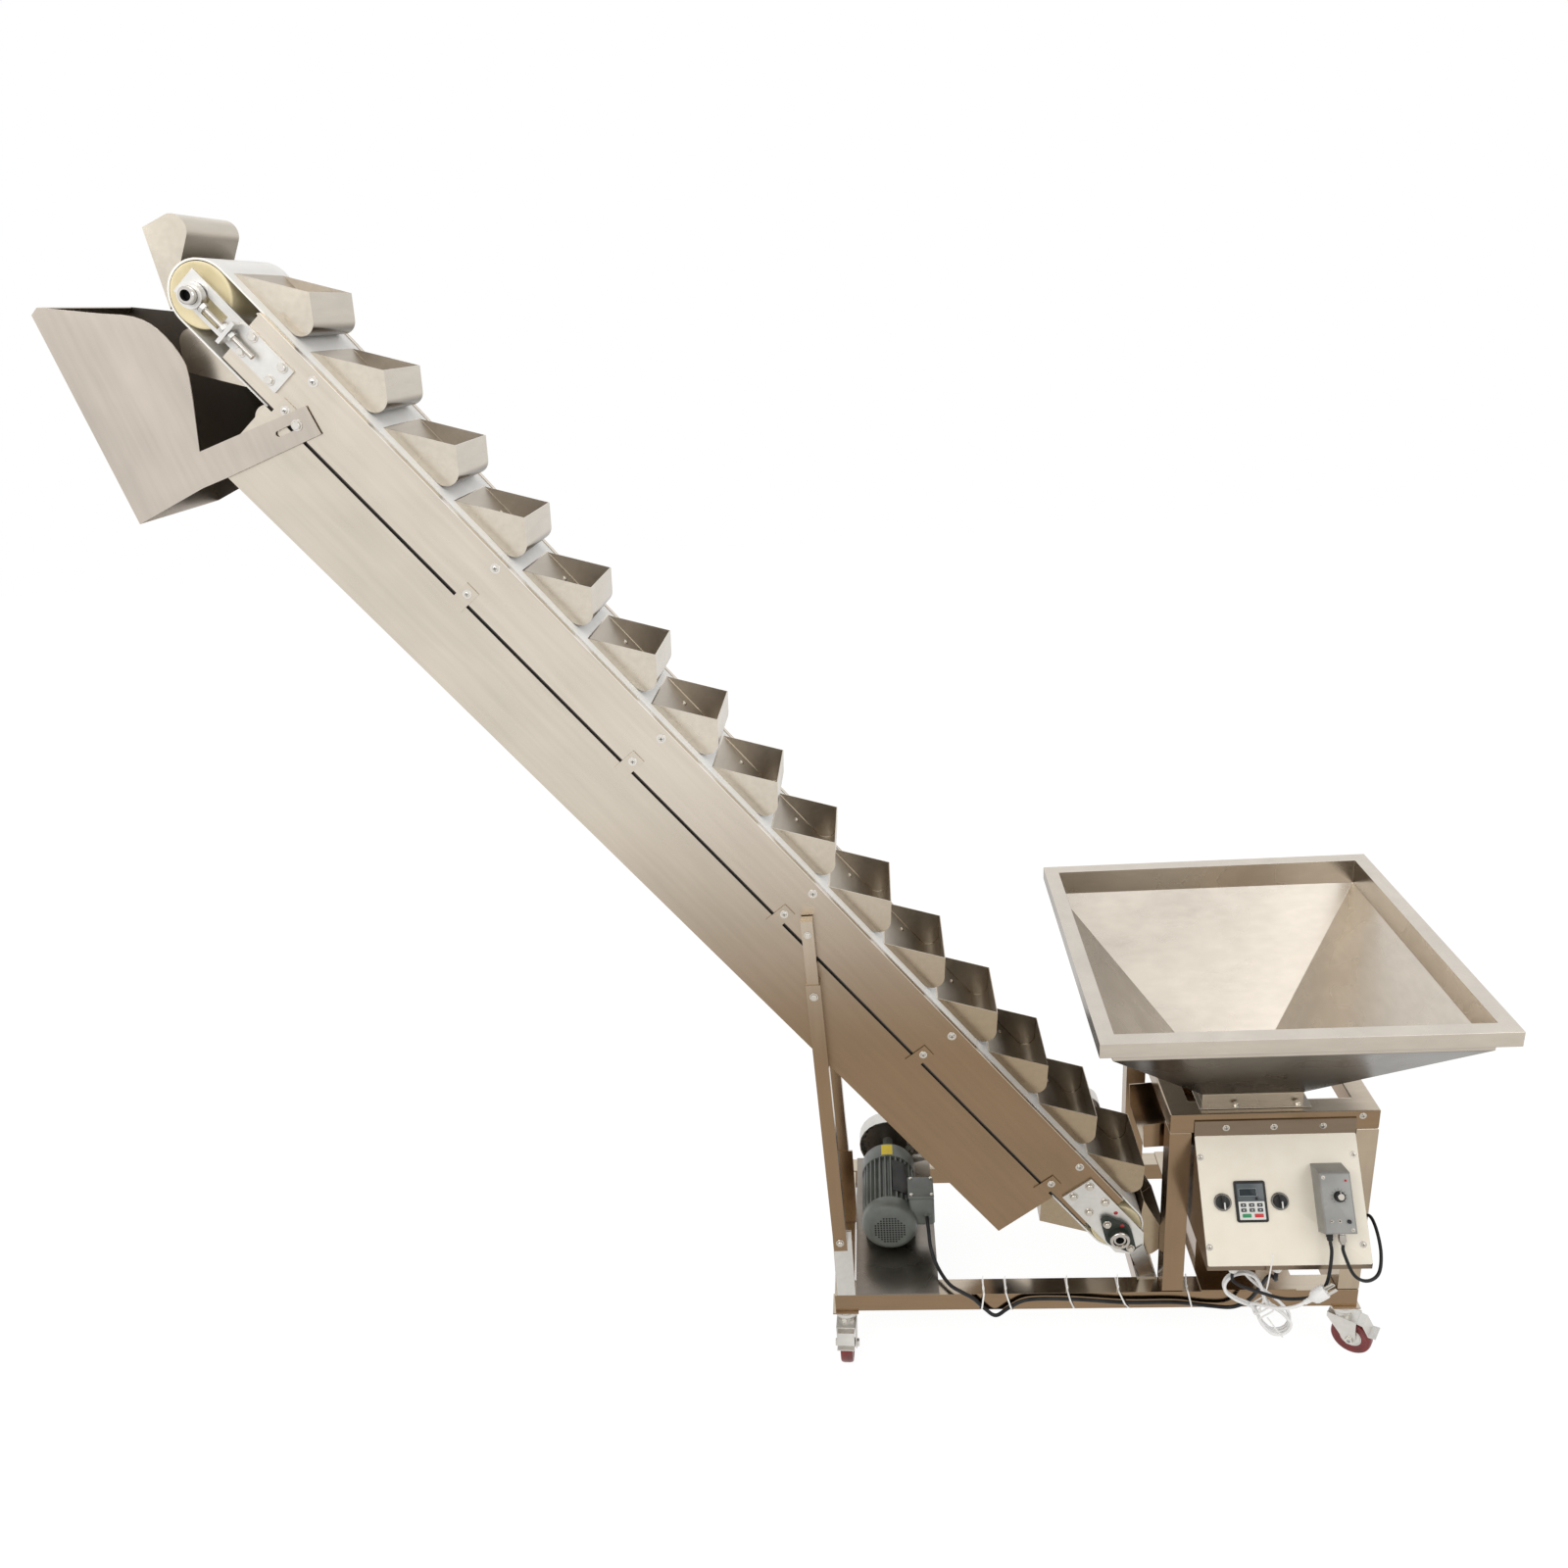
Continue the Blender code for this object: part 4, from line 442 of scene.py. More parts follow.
# The base is welded from 40 mm square stainless tube, brushed along its length. It stands low,
# so it is painted darker than the boom: painted shade for the less light it reflects.
tree, given, out = shader_group("sheet_marks", {"Position": "Vector", "Along": "Vector", "Mottle": "Float"},
                                {"Tone": "Float", "Gloss": "Float", "Streak": "Float"})
sheet_marks = tree
streak = speckle(tree, given["Along"], 90.0, 3.0)
wipe = swirl(tree, given["Position"], 9.0, 0.35)
large = swirl(tree, given["Position"], 3.5, 0.5)
marks = combine(tree, "ADD", between(tree, large, -0.5, 0.5, 0.3, 0.7), between(tree, wipe, -0.35, 0.35, 0.3, 0.7))
swing = combine(tree, "MULTIPLY_ADD", marks, given["Mottle"], 1.0)
wire(tree, out, {"Tone": combine(tree, "MULTIPLY", swing, between(tree, streak, 0.95, 1.05, 0.25, 0.75)),
                 "Gloss": between(tree, wipe, -0.03, 0.07, 0.3, 0.7), "Streak": streak})

# Painted shade: the foot_shade group darkens a metal below 1.38 m, most below 0.70 m, and where it faces down; faces
# that look up get a painted highlight.
tree, given, out = shader_group("foot_shade", {"Position": "Vector", "Normal": "Vector"}, {"Shade": "Float"})
foot_shade = tree
height = split(tree, given["Position"])["Z"]
rise = between(tree, height, 0.0, 1.0, 0.70, 1.38, interpolation_type="SMOOTHSTEP")
up = split(tree, given["Normal"])["Z"]
lifted = combine(tree, "ADD", rise, between(tree, up, 0.0, 0.55, 0.30, 0.95), use_clamp=True)
wire(tree, out, {"Shade": combine(tree, "MULTIPLY", lifted, between(tree, up, 0.25, 1.0, -0.6, -0.05))})


def metal(name, colour, shade_colour, rough, stretch=(1, 1, 1), turn=(0, 0, 0), depth=0.02, mottle=0.10):
    """Bare or plated metal: fine streaks along its grain, cloudy handling marks, and painted shade low down and on
    faces that look down, with a painted highlight on faces that look up.
    """
    made = bpy.data.materials.new(name)
    made.use_nodes = True
    tree = made.node_tree
    place = add(tree, "ShaderNodeTexCoord").outputs["Object"]
    turned = add(tree, "ShaderNodeMapping", {"Vector": place, "Rotation": turn}, vector_type="POINT").outputs[0]
    along = add(tree, "ShaderNodeMapping", {"Vector": turned, "Scale": stretch}, vector_type="POINT").outputs[0]
    sheet = add(tree, "ShaderNodeGroup", {"Position": place, "Along": along, "Mottle": mottle},
                node_tree=sheet_marks).outputs
    normal = add(tree, "ShaderNodeNewGeometry").outputs["Normal"]
    foot = add(tree, "ShaderNodeGroup", {"Position": place, "Normal": normal}, node_tree=foot_shade)
    base = blended(tree, foot.outputs["Shade"], (*shade_colour, 1), (*colour, 1))
    bump = add(tree, "ShaderNodeBump", {"Height": sheet["Streak"], "Strength": depth, "Distance": 0.001})
    wire(tree, tree.nodes["Principled BSDF"], {
        "Base Color": shaded(tree, base, sheet["Tone"]), "Roughness": combine(tree, "ADD", sheet["Gloss"], rough),
        "Metallic": 1.0, "Normal": bump.outputs[0]})
    return made


def dress(finish, *nodes):
    """Give carried-over nodes a finish."""
    for name in nodes:
        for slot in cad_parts[name].material_slots:
            slot.material = finish


def round_edges(width, *nodes):
    """Round the drawn corners of a tube: join the loose triangles, then bevel the sharp edges."""
    for name in nodes:
        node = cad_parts[name]
        join = node.modifiers.new("join", "WELD")
        join.merge_threshold = 0.00005
        bevel = node.modifiers.new("corner", "BEVEL")
        bevel.width = width
        bevel.segments = 3
        bevel.limit_method = "ANGLE"
        bevel.angle_limit = math.radians(40)
        bevel.harden_normals = True


def facing(normal):
    """Axes whose third one is the normal, as columns."""
    n = np.array(normal, float) / np.linalg.norm(normal)
    side = np.cross((0, 0, 1) if abs(n[2]) < 0.9 else (1, 0, 0), n)
    side /= np.linalg.norm(side)
    return axes_of(side, np.cross(n, side), n)


def circle(radius, count):
    """The outline of a regular shape: (r cos a, r sin a) at even angles."""
    a = np.linspace(0, 2 * np.pi, count, endpoint=False)
    return np.column_stack([radius * np.cos(a), radius * np.sin(a)])


pan_head = mm(0, 2.8, 2.2, 2.7, 4.2, 2, 5, 0.8, 5, 0.6, 8, 0.6, 8.2, 0.4, 8.2, 0, 0, 0)
cross_recess = mm(3.1, -0.6, 3.1, 0.6, 0.6, 0.6, 0.6, 3.1, -0.6, 3.1, -0.6, 0.6, -3.1, 0.6, -3.1, -0.6, -0.6, -0.6,
                  -0.6, -3.1, 0.6, -3.1, 0.6, -0.6)


def screws(name, places, normal, scale=1.0):
    """Pan-head screws on washers, all alike, at the places on a face, each with a dark cross on its head: the painted
    shade of a cross recess.
    """
    axes = facing(normal) * scale
    solid(name, [moved(revolve(pan_head, 20), axes, at) for at in places], bright_screw, "zinc_plate", sharp=30)
    solid(name + "_recesses", [moved(prism(cross_recess, 0.0024, 0.00285), axes, at) for at in places], painted_recess_shade,
          "black_plastic")


def hex_bolt(radius, height):
    """A hexagon head with a chamfered crown, on a round washer."""
    washer = radius * 1.25
    rim = washer + 0.0003
    head = prism(circle(radius, 6), 0.0012, height * 0.86)
    crown = revolve([(0, height), (radius * 0.78, height), (radius * 0.88, height * 0.84), (0, height * 0.84)], 30)
    return [head, crown, revolve([(0, 0.0012), (washer, 0.0012), (rim, 0.0008), (rim, 0), (0, 0)], 30)]


def bolts(name, places, normal, radius, height):
    """Hexagon bolts, all alike, at the places on a face."""
    axes = facing(normal)
    solid(name, [moved(shape, axes, at) for at in places for shape in hex_bolt(radius, height)], bright_screw,
          "zinc_plate", sharp=30)


# warm is the sheet's full colour; the brown below it is the painted shade it turns to low down and on faces that look
# down.
warm = (0.68, 0.615, 0.525)
shade_brown = (0.245, 0.165, 0.098)
tube_x, tube_y, tube_z = (metal("tube_" + way, (0.80, 0.73, 0.62), shade_brown, 0.16, stretch) for way, stretch in
                          (("along_x", (0.10, 1, 1)), ("along_y", (1, 0.10, 1)), ("upright", (1, 1, 0.10))))
zinc = metal("zinc_plating", (0.66, 0.65, 0.625), (0.60, 0.58, 0.54), 0.34, mottle=0.20)
bright_screw = metal("bright_screw", (0.74, 0.71, 0.66), (0.50, 0.46, 0.40), 0.20, mottle=0.08)
# Near-black for the painted shade in screw recesses and under the boom's side sheets.
painted_recess_shade = moulded("painted_recess_shade", (0.05, 0.045, 0.04), (0.09, 0.08, 0.07), 0.5)
# Near-black for the painted shade inside holes and bores.
painted_hole_shade = moulded("painted_hole_shade", (0.008, 0.008, 0.008), (0.014, 0.014, 0.014), 0.6)
base_rails = ("base_rail_front", "base_rail_rear")
base_crosses = ("base_cross_left", "base_cross_middle", "base_cross_right")
dress(tube_x, *base_rails)
dress(tube_y, *base_crosses)
round_edges(0.003, *base_rails, *base_crosses)

# Each castor has a zinc-plated fork that swivels under its plate, with a brake pedal, and a wheel
# of dark red cast polyurethane on a steel hub that turns on a bolted axle.
castors = {"front_left": (0.006, -0.102, -92), "front_right": (0.982, -0.102, -35),
           "rear_left": (0.006, 0.271, -80), "rear_right": (0.982, 0.271, -60)}
wheel_radius, wheel_trail = 0.0375, 0.025
nut_radius, nut_height, nut_seats = 0.0078, 0.0038, (0.0202, -0.0240)
tyre_red = moulded("tyre_red", (0.24, 0.026, 0.026), (0.13, 0.035, 0.030), 0.34)
tyre_profile = mirrored(mm(19.5, 10.5, 28, 11.2, 30, 12.5, 35, 12, 36.8, 9.5, 37.5, 5))
hub_profile = mirrored(mm(4.5, 16, 8.5, 16, 9.8, 14.6, 10, 10.8, 17, 9.8, 18.6, 11, 19.8, 10.8))
race_profile = mm(0, 111.7, 24, 111.7, 25.2, 110, 24, 106.8, 21.6, 104, 23, 101.2, 23.6, 98, 22.2, 95, 0, 95)
for where, (x, y, heading) in castors.items():
    turn = math.radians(heading)
    forward = np.array((math.cos(turn), math.sin(turn), 0))
    axes = axes_of(forward, (0, 0, -1), (-math.sin(turn), math.cos(turn), 0))
    middle = np.array((x, y, wheel_radius)) + wheel_trail * forward
    solid("castor_tyre_" + where, [moved(revolve(tyre_profile, 64), axes, middle)], tyre_red, "red_tyre",
          "wheel_" + where, stands_for="caster_wheel_" + where)
    solid("castor_hub_" + where, [moved(revolve(hub_profile, 48), axes, middle)], zinc, "zinc_plate",
          "wheel_" + where)
    nuts = [moved(prism(circle(nut_radius, 6), low, low + nut_height), axes, middle) for low in nut_seats]
    solid("castor_fittings_" + where, nuts + [moved(revolve(race_profile, 40), np.eye(3), (x, y, 0))], zinc,
          "zinc_plate", "caster_" + where)
    dress(zinc, "caster_fork_" + where)

# The hopper stand is four posts and a welded top ring of the same tube. The front right post is given
# a brighter copy of the tube's finish, a painted reflection, and one screw shows in the ring's corner.
posts = ["stand_post_" + where for where in ("front_left", "rear_left", "rear_right")]
# A brighter copy of the tube finish: painted reflection.
post_painted_reflection = metal("post_painted_reflection", (0.80, 0.74, 0.64), (0.36, 0.29, 0.21), 0.14, (1, 1, 0.10), mottle=0.30)
dress(tube_z, *posts)
dress(post_painted_reflection, "stand_post_front_right")
dress(tube_x, "stand_top_frame")
round_edges(0.003, *posts, "stand_post_front_right", "stand_top_frame")
screws("ring_screw", [(0.9705, -0.1221, 0.5640)], (0, -1, 0), scale=0.8)

# The hopper is folded from 2 mm stainless sheet: a hollow rim, a short collar, a pyramid that
# narrows to a neck, and a flange that sits on the stand. Its sheet has a lighter colour, painted light
# falling inside, and its faces that look left or right, its rim and its lower faces get painted shade,
# as turned away from the light. Two bolts hold the flange at the front.
# A lighter colour: painted light falling into the hopper.
hopper_sheet = metal("hopper_sheet", (0.89, 0.825, 0.74), (0.47, 0.415, 0.345), 0.26, (0.3, 0.3, 1), mottle=0.06)


def shade_by_side(finish, *slants):
    """Paint shade into a metal where its normal leans along an axis: each slant is an axis, two leans and two shades.
    """
    tree = finish.node_tree
    shader = tree.nodes["Principled BSDF"]
    colour = shader.inputs["Base Color"].links[0].from_socket
    normal = split(tree, add(tree, "ShaderNodeNewGeometry").outputs["Normal"])
    for axis, start, end, low, high in slants:
        colour = shaded(tree, colour, between(tree, normal[axis], low, high, start, end))
    wire(tree, shader, {"Base Color": colour})


shade_by_side(hopper_sheet, ("X", 0.15, 0.50, 1.0, 0.52), ("X", -0.98, -0.90, 0.50, 1.0),
              ("Z", 0.90, 0.99, 1.0, 0.84), ("Z", -0.35, -0.05, 0.26, 1.0))
dress(hopper_sheet, "hopper")
round_edges(0.0008, "hopper")
bolts("flange_bolts", [(0.7520, -0.0985, 0.5774), (0.8620, -0.0985, 0.5774)], (0, 0, 1), 0.0055, 0.0042)

# The boom is two long side sheets with folded edges over a U-shaped return pan of thin sheet.
# The tabs of the pan and the side sheets are held by pan-head screws on washers. Thin strips paint a
# highlight on the sheared upper edge and shade on the lower one, and a black strip paints the shade in the gap to the
# pan.
incline = math.radians(52.2)
head_shaft = np.array((-0.84027, 0.0, 2.08643))
boom_axes = axes_of((math.cos(incline), 0, -math.sin(incline)), (0, 1, 0), (math.sin(incline), 0, math.cos(incline)))
both_sides = ((-1, "near"), (1, "far"))


def on_boom(s, y, t):
    """A point given down the boom from the head shaft, across it, and square out from the belt."""
    return boom_axes @ np.array((s, y, t)) + head_shaft


along_boom = ((0.06, 1, 1), (0, -incline, 0))
boom_sheet = metal("boom_sheet", warm, shade_brown, 0.26, *along_boom, mottle=0.055)
pan_sheet = metal("pan_sheet", (0.655, 0.595, 0.505), shade_brown, 0.28, *along_boom, mottle=0.08)
# A black for the painted shade in the gap, and a pale metal for the painted highlight on the upper edge.
gap_shade_black = moulded("gap_shade_black", (0.012, 0.011, 0.010), (0.020, 0.018, 0.016), 0.6)
edge_highlight = metal("painted_edge_highlight", (0.93, 0.90, 0.84), (0.62, 0.55, 0.46), 0.22, mottle=0.04)
dress(boom_sheet, "boom_side_near", "boom_side_far", "slider_bed")
dress(pan_sheet, "return_pan")
sheet_face, tab_face, sheet_edge, gap_shade_middle = 0.1201, 0.1224, 0.1198, 0.1160
side_row, tab_row = 0.196 + 0.378 * np.arange(6), 0.194 + 0.3776 * np.arange(6)
for side, label in both_sides:
    screws("side_screws_" + label, [on_boom(s, side * sheet_face, 0.036) for s in side_row], (0, side, 0))
    screws("tab_screws_" + label, [on_boom(s, side * tab_face, -0.028) for s in tab_row], (0, side, 0), scale=0.9)
    flat = boom_axes @ axes_of((1, 0, 0), (0, 0, 1), (0, 1, 0))
    # Painted highlight on the upper edge, painted shade on the lower edge.
    for edge, t, half, finish in (("upper", 0.0519, 0.0004, edge_highlight), ("lower", -0.0408, 0.0008, painted_recess_shade)):
        strip = prism(oblong(0.080, 2.200, -half, half), -0.0005, 0.0005)
        solid("side_sheet_%s_edge_%s" % (edge, label), [moved(strip, flat, on_boom(0, side * sheet_edge, t))],
              finish, "stainless")
    # A black strip behind the gap to the pan: painted shade.
    gap_shade_strip = prism(oblong(0.170, 2.108, -0.0475, -0.0395), -0.0008, 0.0008)
    solid("pan_gap_shade_" + label, [moved(gap_shade_strip, flat, on_boom(0, side * gap_shade_middle, 0))], gap_shade_black, "black_plastic")

# The belt is smooth white rubber. Every bucket is folded and welded from 1.5 mm stainless sheet
# and bolted through the belt; ten of them are nodes, and the rest ride on the belt's node.
belt_white = moulded("belt_white", (0.96, 0.955, 0.935), (0.92, 0.91, 0.88), 0.42)
belt_inner, belt_outer, belt_half, shaft_span = 0.0490, 0.0520, 0.105, 2.252
bucket_pitch, bucket_first, bucket_count, bucket_leading = 0.1495, -0.1005, 32, 24
belt_bend = (belt_inner + belt_outer) / 2
belt_length = 2 * shaft_span + 2 * math.pi * belt_bend


def belt_band(steps):
    """A band round two circles: its corners are c + r n(a), with r inside or outside and y left or right."""
    a = np.concatenate([np.linspace(np.pi / 2, -np.pi / 2, steps), np.linspace(-np.pi / 2, -3 * np.pi / 2, steps)])
    centre = np.concatenate([np.full(steps, shaft_span), np.zeros(steps)])
    corners = ((belt_outer, -1), (belt_outer, 1), (belt_inner, 1), (belt_inner, -1), (belt_outer, -1))
    points = np.stack([np.column_stack([centre + r * np.cos(a), np.full(2 * steps, side * belt_half),
                                        r * np.sin(a)]) for r, side in corners])
    return points.reshape(-1, 3), quads(5, 2 * steps, True)


solid("belt_band", [moved(belt_band(40), boom_axes, head_shaft)], belt_white, "white_belt", stands_for="belt_loop")

# Painted shade: the outside darkens where it faces down or along +X, and the inside is a darker copy of the same sheet.
bucket_outside = metal("bucket_outside", (0.66, 0.60, 0.51), (0.33, 0.255, 0.170), 0.24, (1, 0.15, 1), mottle=0.07)
shade_by_side(bucket_outside, ("Z", -0.60, -0.20, 0.34, 1.0), ("X", 0.55, 0.90, 1.0, 0.86))
bucket_inside = metal("bucket_inside", (0.46, 0.41, 0.345), (0.40, 0.355, 0.295), 0.36, (1, 0.15, 1), mottle=0.16)
bucket_seat = np.array((0.044, 0, 0))


def bucket_shell():
    """A folded sheet with welded ends: the outer outline O and the inner one I, a sheet's thickness inside it.

    O runs down the back, round the heel as an arc (c + r cos a, r sin a), and up the front wall to the
    lip. Each skin is its outline carried across from one end to the other, and the rim joins the two.
    """
    thick, half, radius, bead = 0.0015, 0.0805, 0.0216, 0.0022
    lip, centre = np.array((0.095, 0.0652)), np.array((0.111, 0.022))
    reach = lip - centre
    last = math.atan2(reach[1], reach[0]) - math.acos(radius / np.linalg.norm(reach))
    a = np.linspace(-np.pi / 2, last, 14)
    ring = np.column_stack([np.cos(a), np.sin(a)])
    outer = np.vstack([(0, 0), centre + radius * ring, lip])
    mouth = lip / np.linalg.norm(lip)
    front = lip - outer[-2]
    front /= np.linalg.norm(front)
    inner_first = mouth * thick / mouth[1]
    inner_last = lip - mouth * thick / abs(mouth[0] * front[1] - mouth[1] * front[0])
    inner = np.vstack([inner_first, centre + (radius - thick) * ring, inner_last])
    n = len(outer)

    def across(rows):
        """Outlines set across the bucket, each at its own y."""
        return np.vstack([np.column_stack([line[:, 0], np.full(n, y), line[:, 1]]) for line, y in rows])

    o, p, i, j = 0, n, 2 * n, 3 * n
    skins = [(o + k, o + k + 1, p + k + 1, p + k) for k in range(n - 1)]
    skins += [tuple(range(o, o + n)), tuple(range(p, p + n))[::-1]]
    skins += [(o, p, j, i), (o + n - 1, i + n - 1, j + n - 1, p + n - 1), (o, i, i + n - 1, o + n - 1),
              (p, p + n - 1, j + n - 1, j)]
    inside = [(i + k, j + k, j + k + 1, i + k + 1) for k in range(n - 1)]
    inside += [tuple(range(i, i + n)), tuple(range(j, j + n))[::-1]]
    middle, drawn_in, lifted = inner.mean(axis=0), 0.94, 0.0001
    small = middle + (inner - middle) * drawn_in
    end = half - thick
    beads = across([(inner, end - bead), (small, end - lifted), (small, lifted - end), (inner, bead - end)])
    seams = [(b + k, b + k + 1, b + n + k + 1, b + n + k) for b in (0, 2 * n) for k in range(n - 1)]
    walls = across([(outer, -half), (outer, half), (inner, -end), (inner, end)])
    return walls - bucket_seat, skins, inside, (beads - bucket_seat, seams)


shell_points, shell_skins, shell_inside, shell_welds = bucket_shell()
bolt_dome = revolve(mm(0, 3, 2.6, 2.6, 4.6, 1.2, 5, 0, 0, 0), 14)
bucket_shapes = [(shell_points, shell_skins + shell_inside), shell_welds]
bucket_shapes += [moved(bolt_dome, np.eye(3), (0.010, y, 0.0017)) for y in (-0.045, 0.045)]


def bucket_piece(name, number, replaced):
    """One bucket, at its travel along the belt, turned with the belt round the drums."""
    if number < bucket_leading:
        travel = bucket_first + number * bucket_pitch
    else:
        travel = belt_length + bucket_first - (bucket_count - number) * bucket_pitch
    if travel < 0:
        along, angle = 0.0, travel / belt_bend
    elif travel <= shaft_span:
        along, angle = travel, 0.0
    elif travel < shaft_span + math.pi * belt_bend:
        along, angle = shaft_span, (travel - shaft_span) / belt_bend
    else:
        along, angle = 2 * shaft_span + math.pi * belt_bend - travel, math.pi
    turn = axes_of((math.cos(angle), 0, -math.sin(angle)), (0, 1, 0), (math.sin(angle), 0, math.cos(angle)))
    spot = (along + belt_outer * math.sin(angle), 0, belt_outer * math.cos(angle))
    placed = [moved(moved(shape, turn, spot), boom_axes, head_shaft) for shape in bucket_shapes]
    made = solid(name, placed, bucket_outside, "stainless", sharp=30, stands_for=replaced)
    made.data.materials.append(bucket_inside)
    faces = np.arange(len(made.data.polygons))
    within = (faces >= len(shell_skins)) & (faces < len(shell_skins) + len(shell_inside))
    made.data.polygons.foreach_set("material_index", within.astype(np.int32))


for number in range(bucket_count):
    if number in range(2, 12):
        bucket_piece("carried_bucket_%02d" % number, number, "bucket_%02d" % number)
    else:
        bucket_piece("belt_bucket_%02d" % number, number, None)

# The two drums are moulded in cream plastic on polished steel shafts. At the head the shaft ends sit
# in eyes that a threaded rod pulls along a slotted plate, and at the tail in two-bolt bearings.
pulley_cream = moulded("pulley_cream", (0.86, 0.76, 0.50), (0.78, 0.67, 0.41), 0.36)
shaft_steel = metal("shaft_steel", (0.62, 0.59, 0.55), (0.42, 0.39, 0.35), 0.14, mottle=0.10)
drum_profile = mirrored(mm(12.6, 105.5, 40, 105.5, 42.5, 107, 46, 107, 47.5, 105.5))
shaft_profile = mirrored(mm(0, 140, 7.2, 140, 8, 152, 11.2, 152, 12.5, 150.5), closed=False)
bore_profile = mm(0, 140.3, 7, 140.3, 7.8, 147.5, 7.3, 147.5, 6.6, 140.8, 0, 140.8)
drive_profile = mm(0, 6, 11.8, 6, 12.4, 5, 12.4, -133, 0, -133)
across_axes = axes_of((1, 0, 0), (0, 0, -1), (0, 1, 0))
sprocket_y = 0.272


def toothed(radius, teeth, steps, depth):
    """A round with teeth: the radius at each angle a is r (1 + d cos k a)."""
    a = np.linspace(0, 2 * np.pi, steps, endpoint=False)
    return circle(radius, steps) * (1 + depth * np.cos(teeth * a))[:, None]


for end, at, reach, bored in (("head", 0.0, 1.0, (-1, 1)), ("tail", shaft_span, 0.146 / 0.152, (-1,))):
    body, spot = end + "_drum", on_boom(at, 0, 0)
    solid(end + "_drum_shell", [moved(revolve(drum_profile, 72), across_axes, spot)], pulley_cream, "cream_pulley",
          body, stands_for=end + "_pulley")
    shapes = [moved(revolve(shaft_profile * (1, reach), 40), across_axes, spot)]
    if end == "tail":
        teeth = toothed(0.024, 14, 56, 0.045) * 0.955
        shapes += [moved(shape, across_axes, on_boom(at, sprocket_y, 0))
                   for shape in (prism(teeth, -0.0025, 0.0025), revolve(drive_profile, 40))]
    solid(end + "_shaft", shapes, shaft_steel, "zinc_plate", body)
    # Each bored shaft end is lined in near-black: painted shade.
    points, faces = revolve(bore_profile, 32)
    solid(end + "_shaft_bore", [moved((points * (1, 1, side * reach), faces), across_axes, spot) for side in bored],
          painted_hole_shade, "black_plastic", body)

dress(zinc, "take_up_near", "take_up_far", "tail_bracket_near", "tail_bracket_far")
rod_steel = metal("rod_steel", (0.50, 0.42, 0.32), (0.34, 0.27, 0.20), 0.30, mottle=0.15)
thread = [(0, 0.0545)] + [(0.0042 if k % 2 else 0.0036, 0.0540 - 0.0009 * k) for k in range(110)] + [(0, -0.046)]
rod_axes = axes_of((0, 1, 0), boom_axes[:, 2], boom_axes[:, 0])
rod_y, plate_face, bearing_face = 0.1343, 0.1244, 0.1347
rod_nut_radius, rod_nut_height, rod_nut_seats = 0.0082, 0.0060, (0.0585, 0.0730, 0.0200)
tail = np.array((shaft_span, 0))
for side, label in both_sides:
    solid("take_up_thread_" + label, [moved(revolve(thread, 14), rod_axes, on_boom(0.0625, side * rod_y, 0))],
          rod_steel, "zinc_plate", sharp=60)
    nuts = [moved(prism(circle(rod_nut_radius, 6), low, low + rod_nut_height), rod_axes,
                  on_boom(0, side * rod_y, 0)) for low in rod_nut_seats]
    solid("take_up_nuts_" + label, nuts, zinc, "zinc_plate")
    for name, places, face, radius, height in (
            ("take_up_bolts_", mm(94.7, 19, 95.1, -10.5, 152.5, 18.5, 150.2, -10.7), plate_face, 0.0065, 0.0050),
            ("tail_bolts_", tail + mm(-121, -13, -121, 24.5, -73, -13, -73, 24.5), plate_face, 0.0068, 0.0052),
            ("bearing_bolts_", tail + mm(-36.7, 0, 36.7, 0), bearing_face, 0.0062, 0.0055)):
        bolts(name + label, [on_boom(s, side * face, t) for s, t in places], (0, side, 0), radius, height)
cast_green = moulded("cast_green", (0.022, 0.032, 0.026), (0.05, 0.055, 0.046), 0.40, 260.0, 0.2)
dress(cast_green, "tail_bearing_near")
near_face = facing((0, -1, 0))
collar = revolve(mm(13.2, 4, 18, 4, 18.8, 3, 18.8, 0, 13.2, 0, 13.2, 4), 40)
collar_y = -0.1448
solid("bearing_collar", [moved(collar, near_face, on_boom(shaft_span, collar_y, 0))], shaft_steel, "zinc_plate")
dab_red = moulded("red_dab", (0.42, 0.012, 0.012), (0.25, 0.02, 0.02), 0.4)
dab = revolve(mm(0, 1, 2, 0.9, 3.6, 0.5, 4.2, 0, 0, 0), 12)
dab_places = (on_boom(shaft_span - 0.016, -0.1346, 0.0195), on_boom(shaft_span - 0.040, -plate_face, 0.0250))
solid("bearing_dabs", [moved(dab, near_face, at) for at in dab_places], dab_red, "red_tyre")

# Each strut is a bar that slides in a 26 mm stainless tube, pinned through, with a bent zinc-plated
# strap bolted to its foot. It holds the boom up off the base.
dress(tube_z, "strut_near", "strut_far")
strut_lean = math.atan2(-0.017, 0.724)
foot_x, foot_z = 0.007, 0.292
tube_face, bar_face, strap_middle = 0.1465, 0.1440, 0.1217
downwards = axes_of((1, 0, 0), (0, 0, 1), (0, -1, 0))
strap = prism(oblong(-0.0085, 0.0280, 0.1558, 0.3175), -0.0003, 0.0003)
for side, label in both_sides:
    spots = [(foot_x + math.sin(strut_lean) * up, side * tube_face, foot_z + up) for up in (0.020, 0.575)]
    bolts("strut_bolts_" + label, spots, (0, side, 0), 0.0062, 0.0050)
    bolts("strut_pin_" + label, [(-0.0094, side * bar_face, 0.990)], (0, side, 0), 0.0052, 0.0042)
    solid("strut_strap_face_" + label, [moved(strap, downwards, (0, side * strap_middle, 0))], zinc, "zinc_plate")

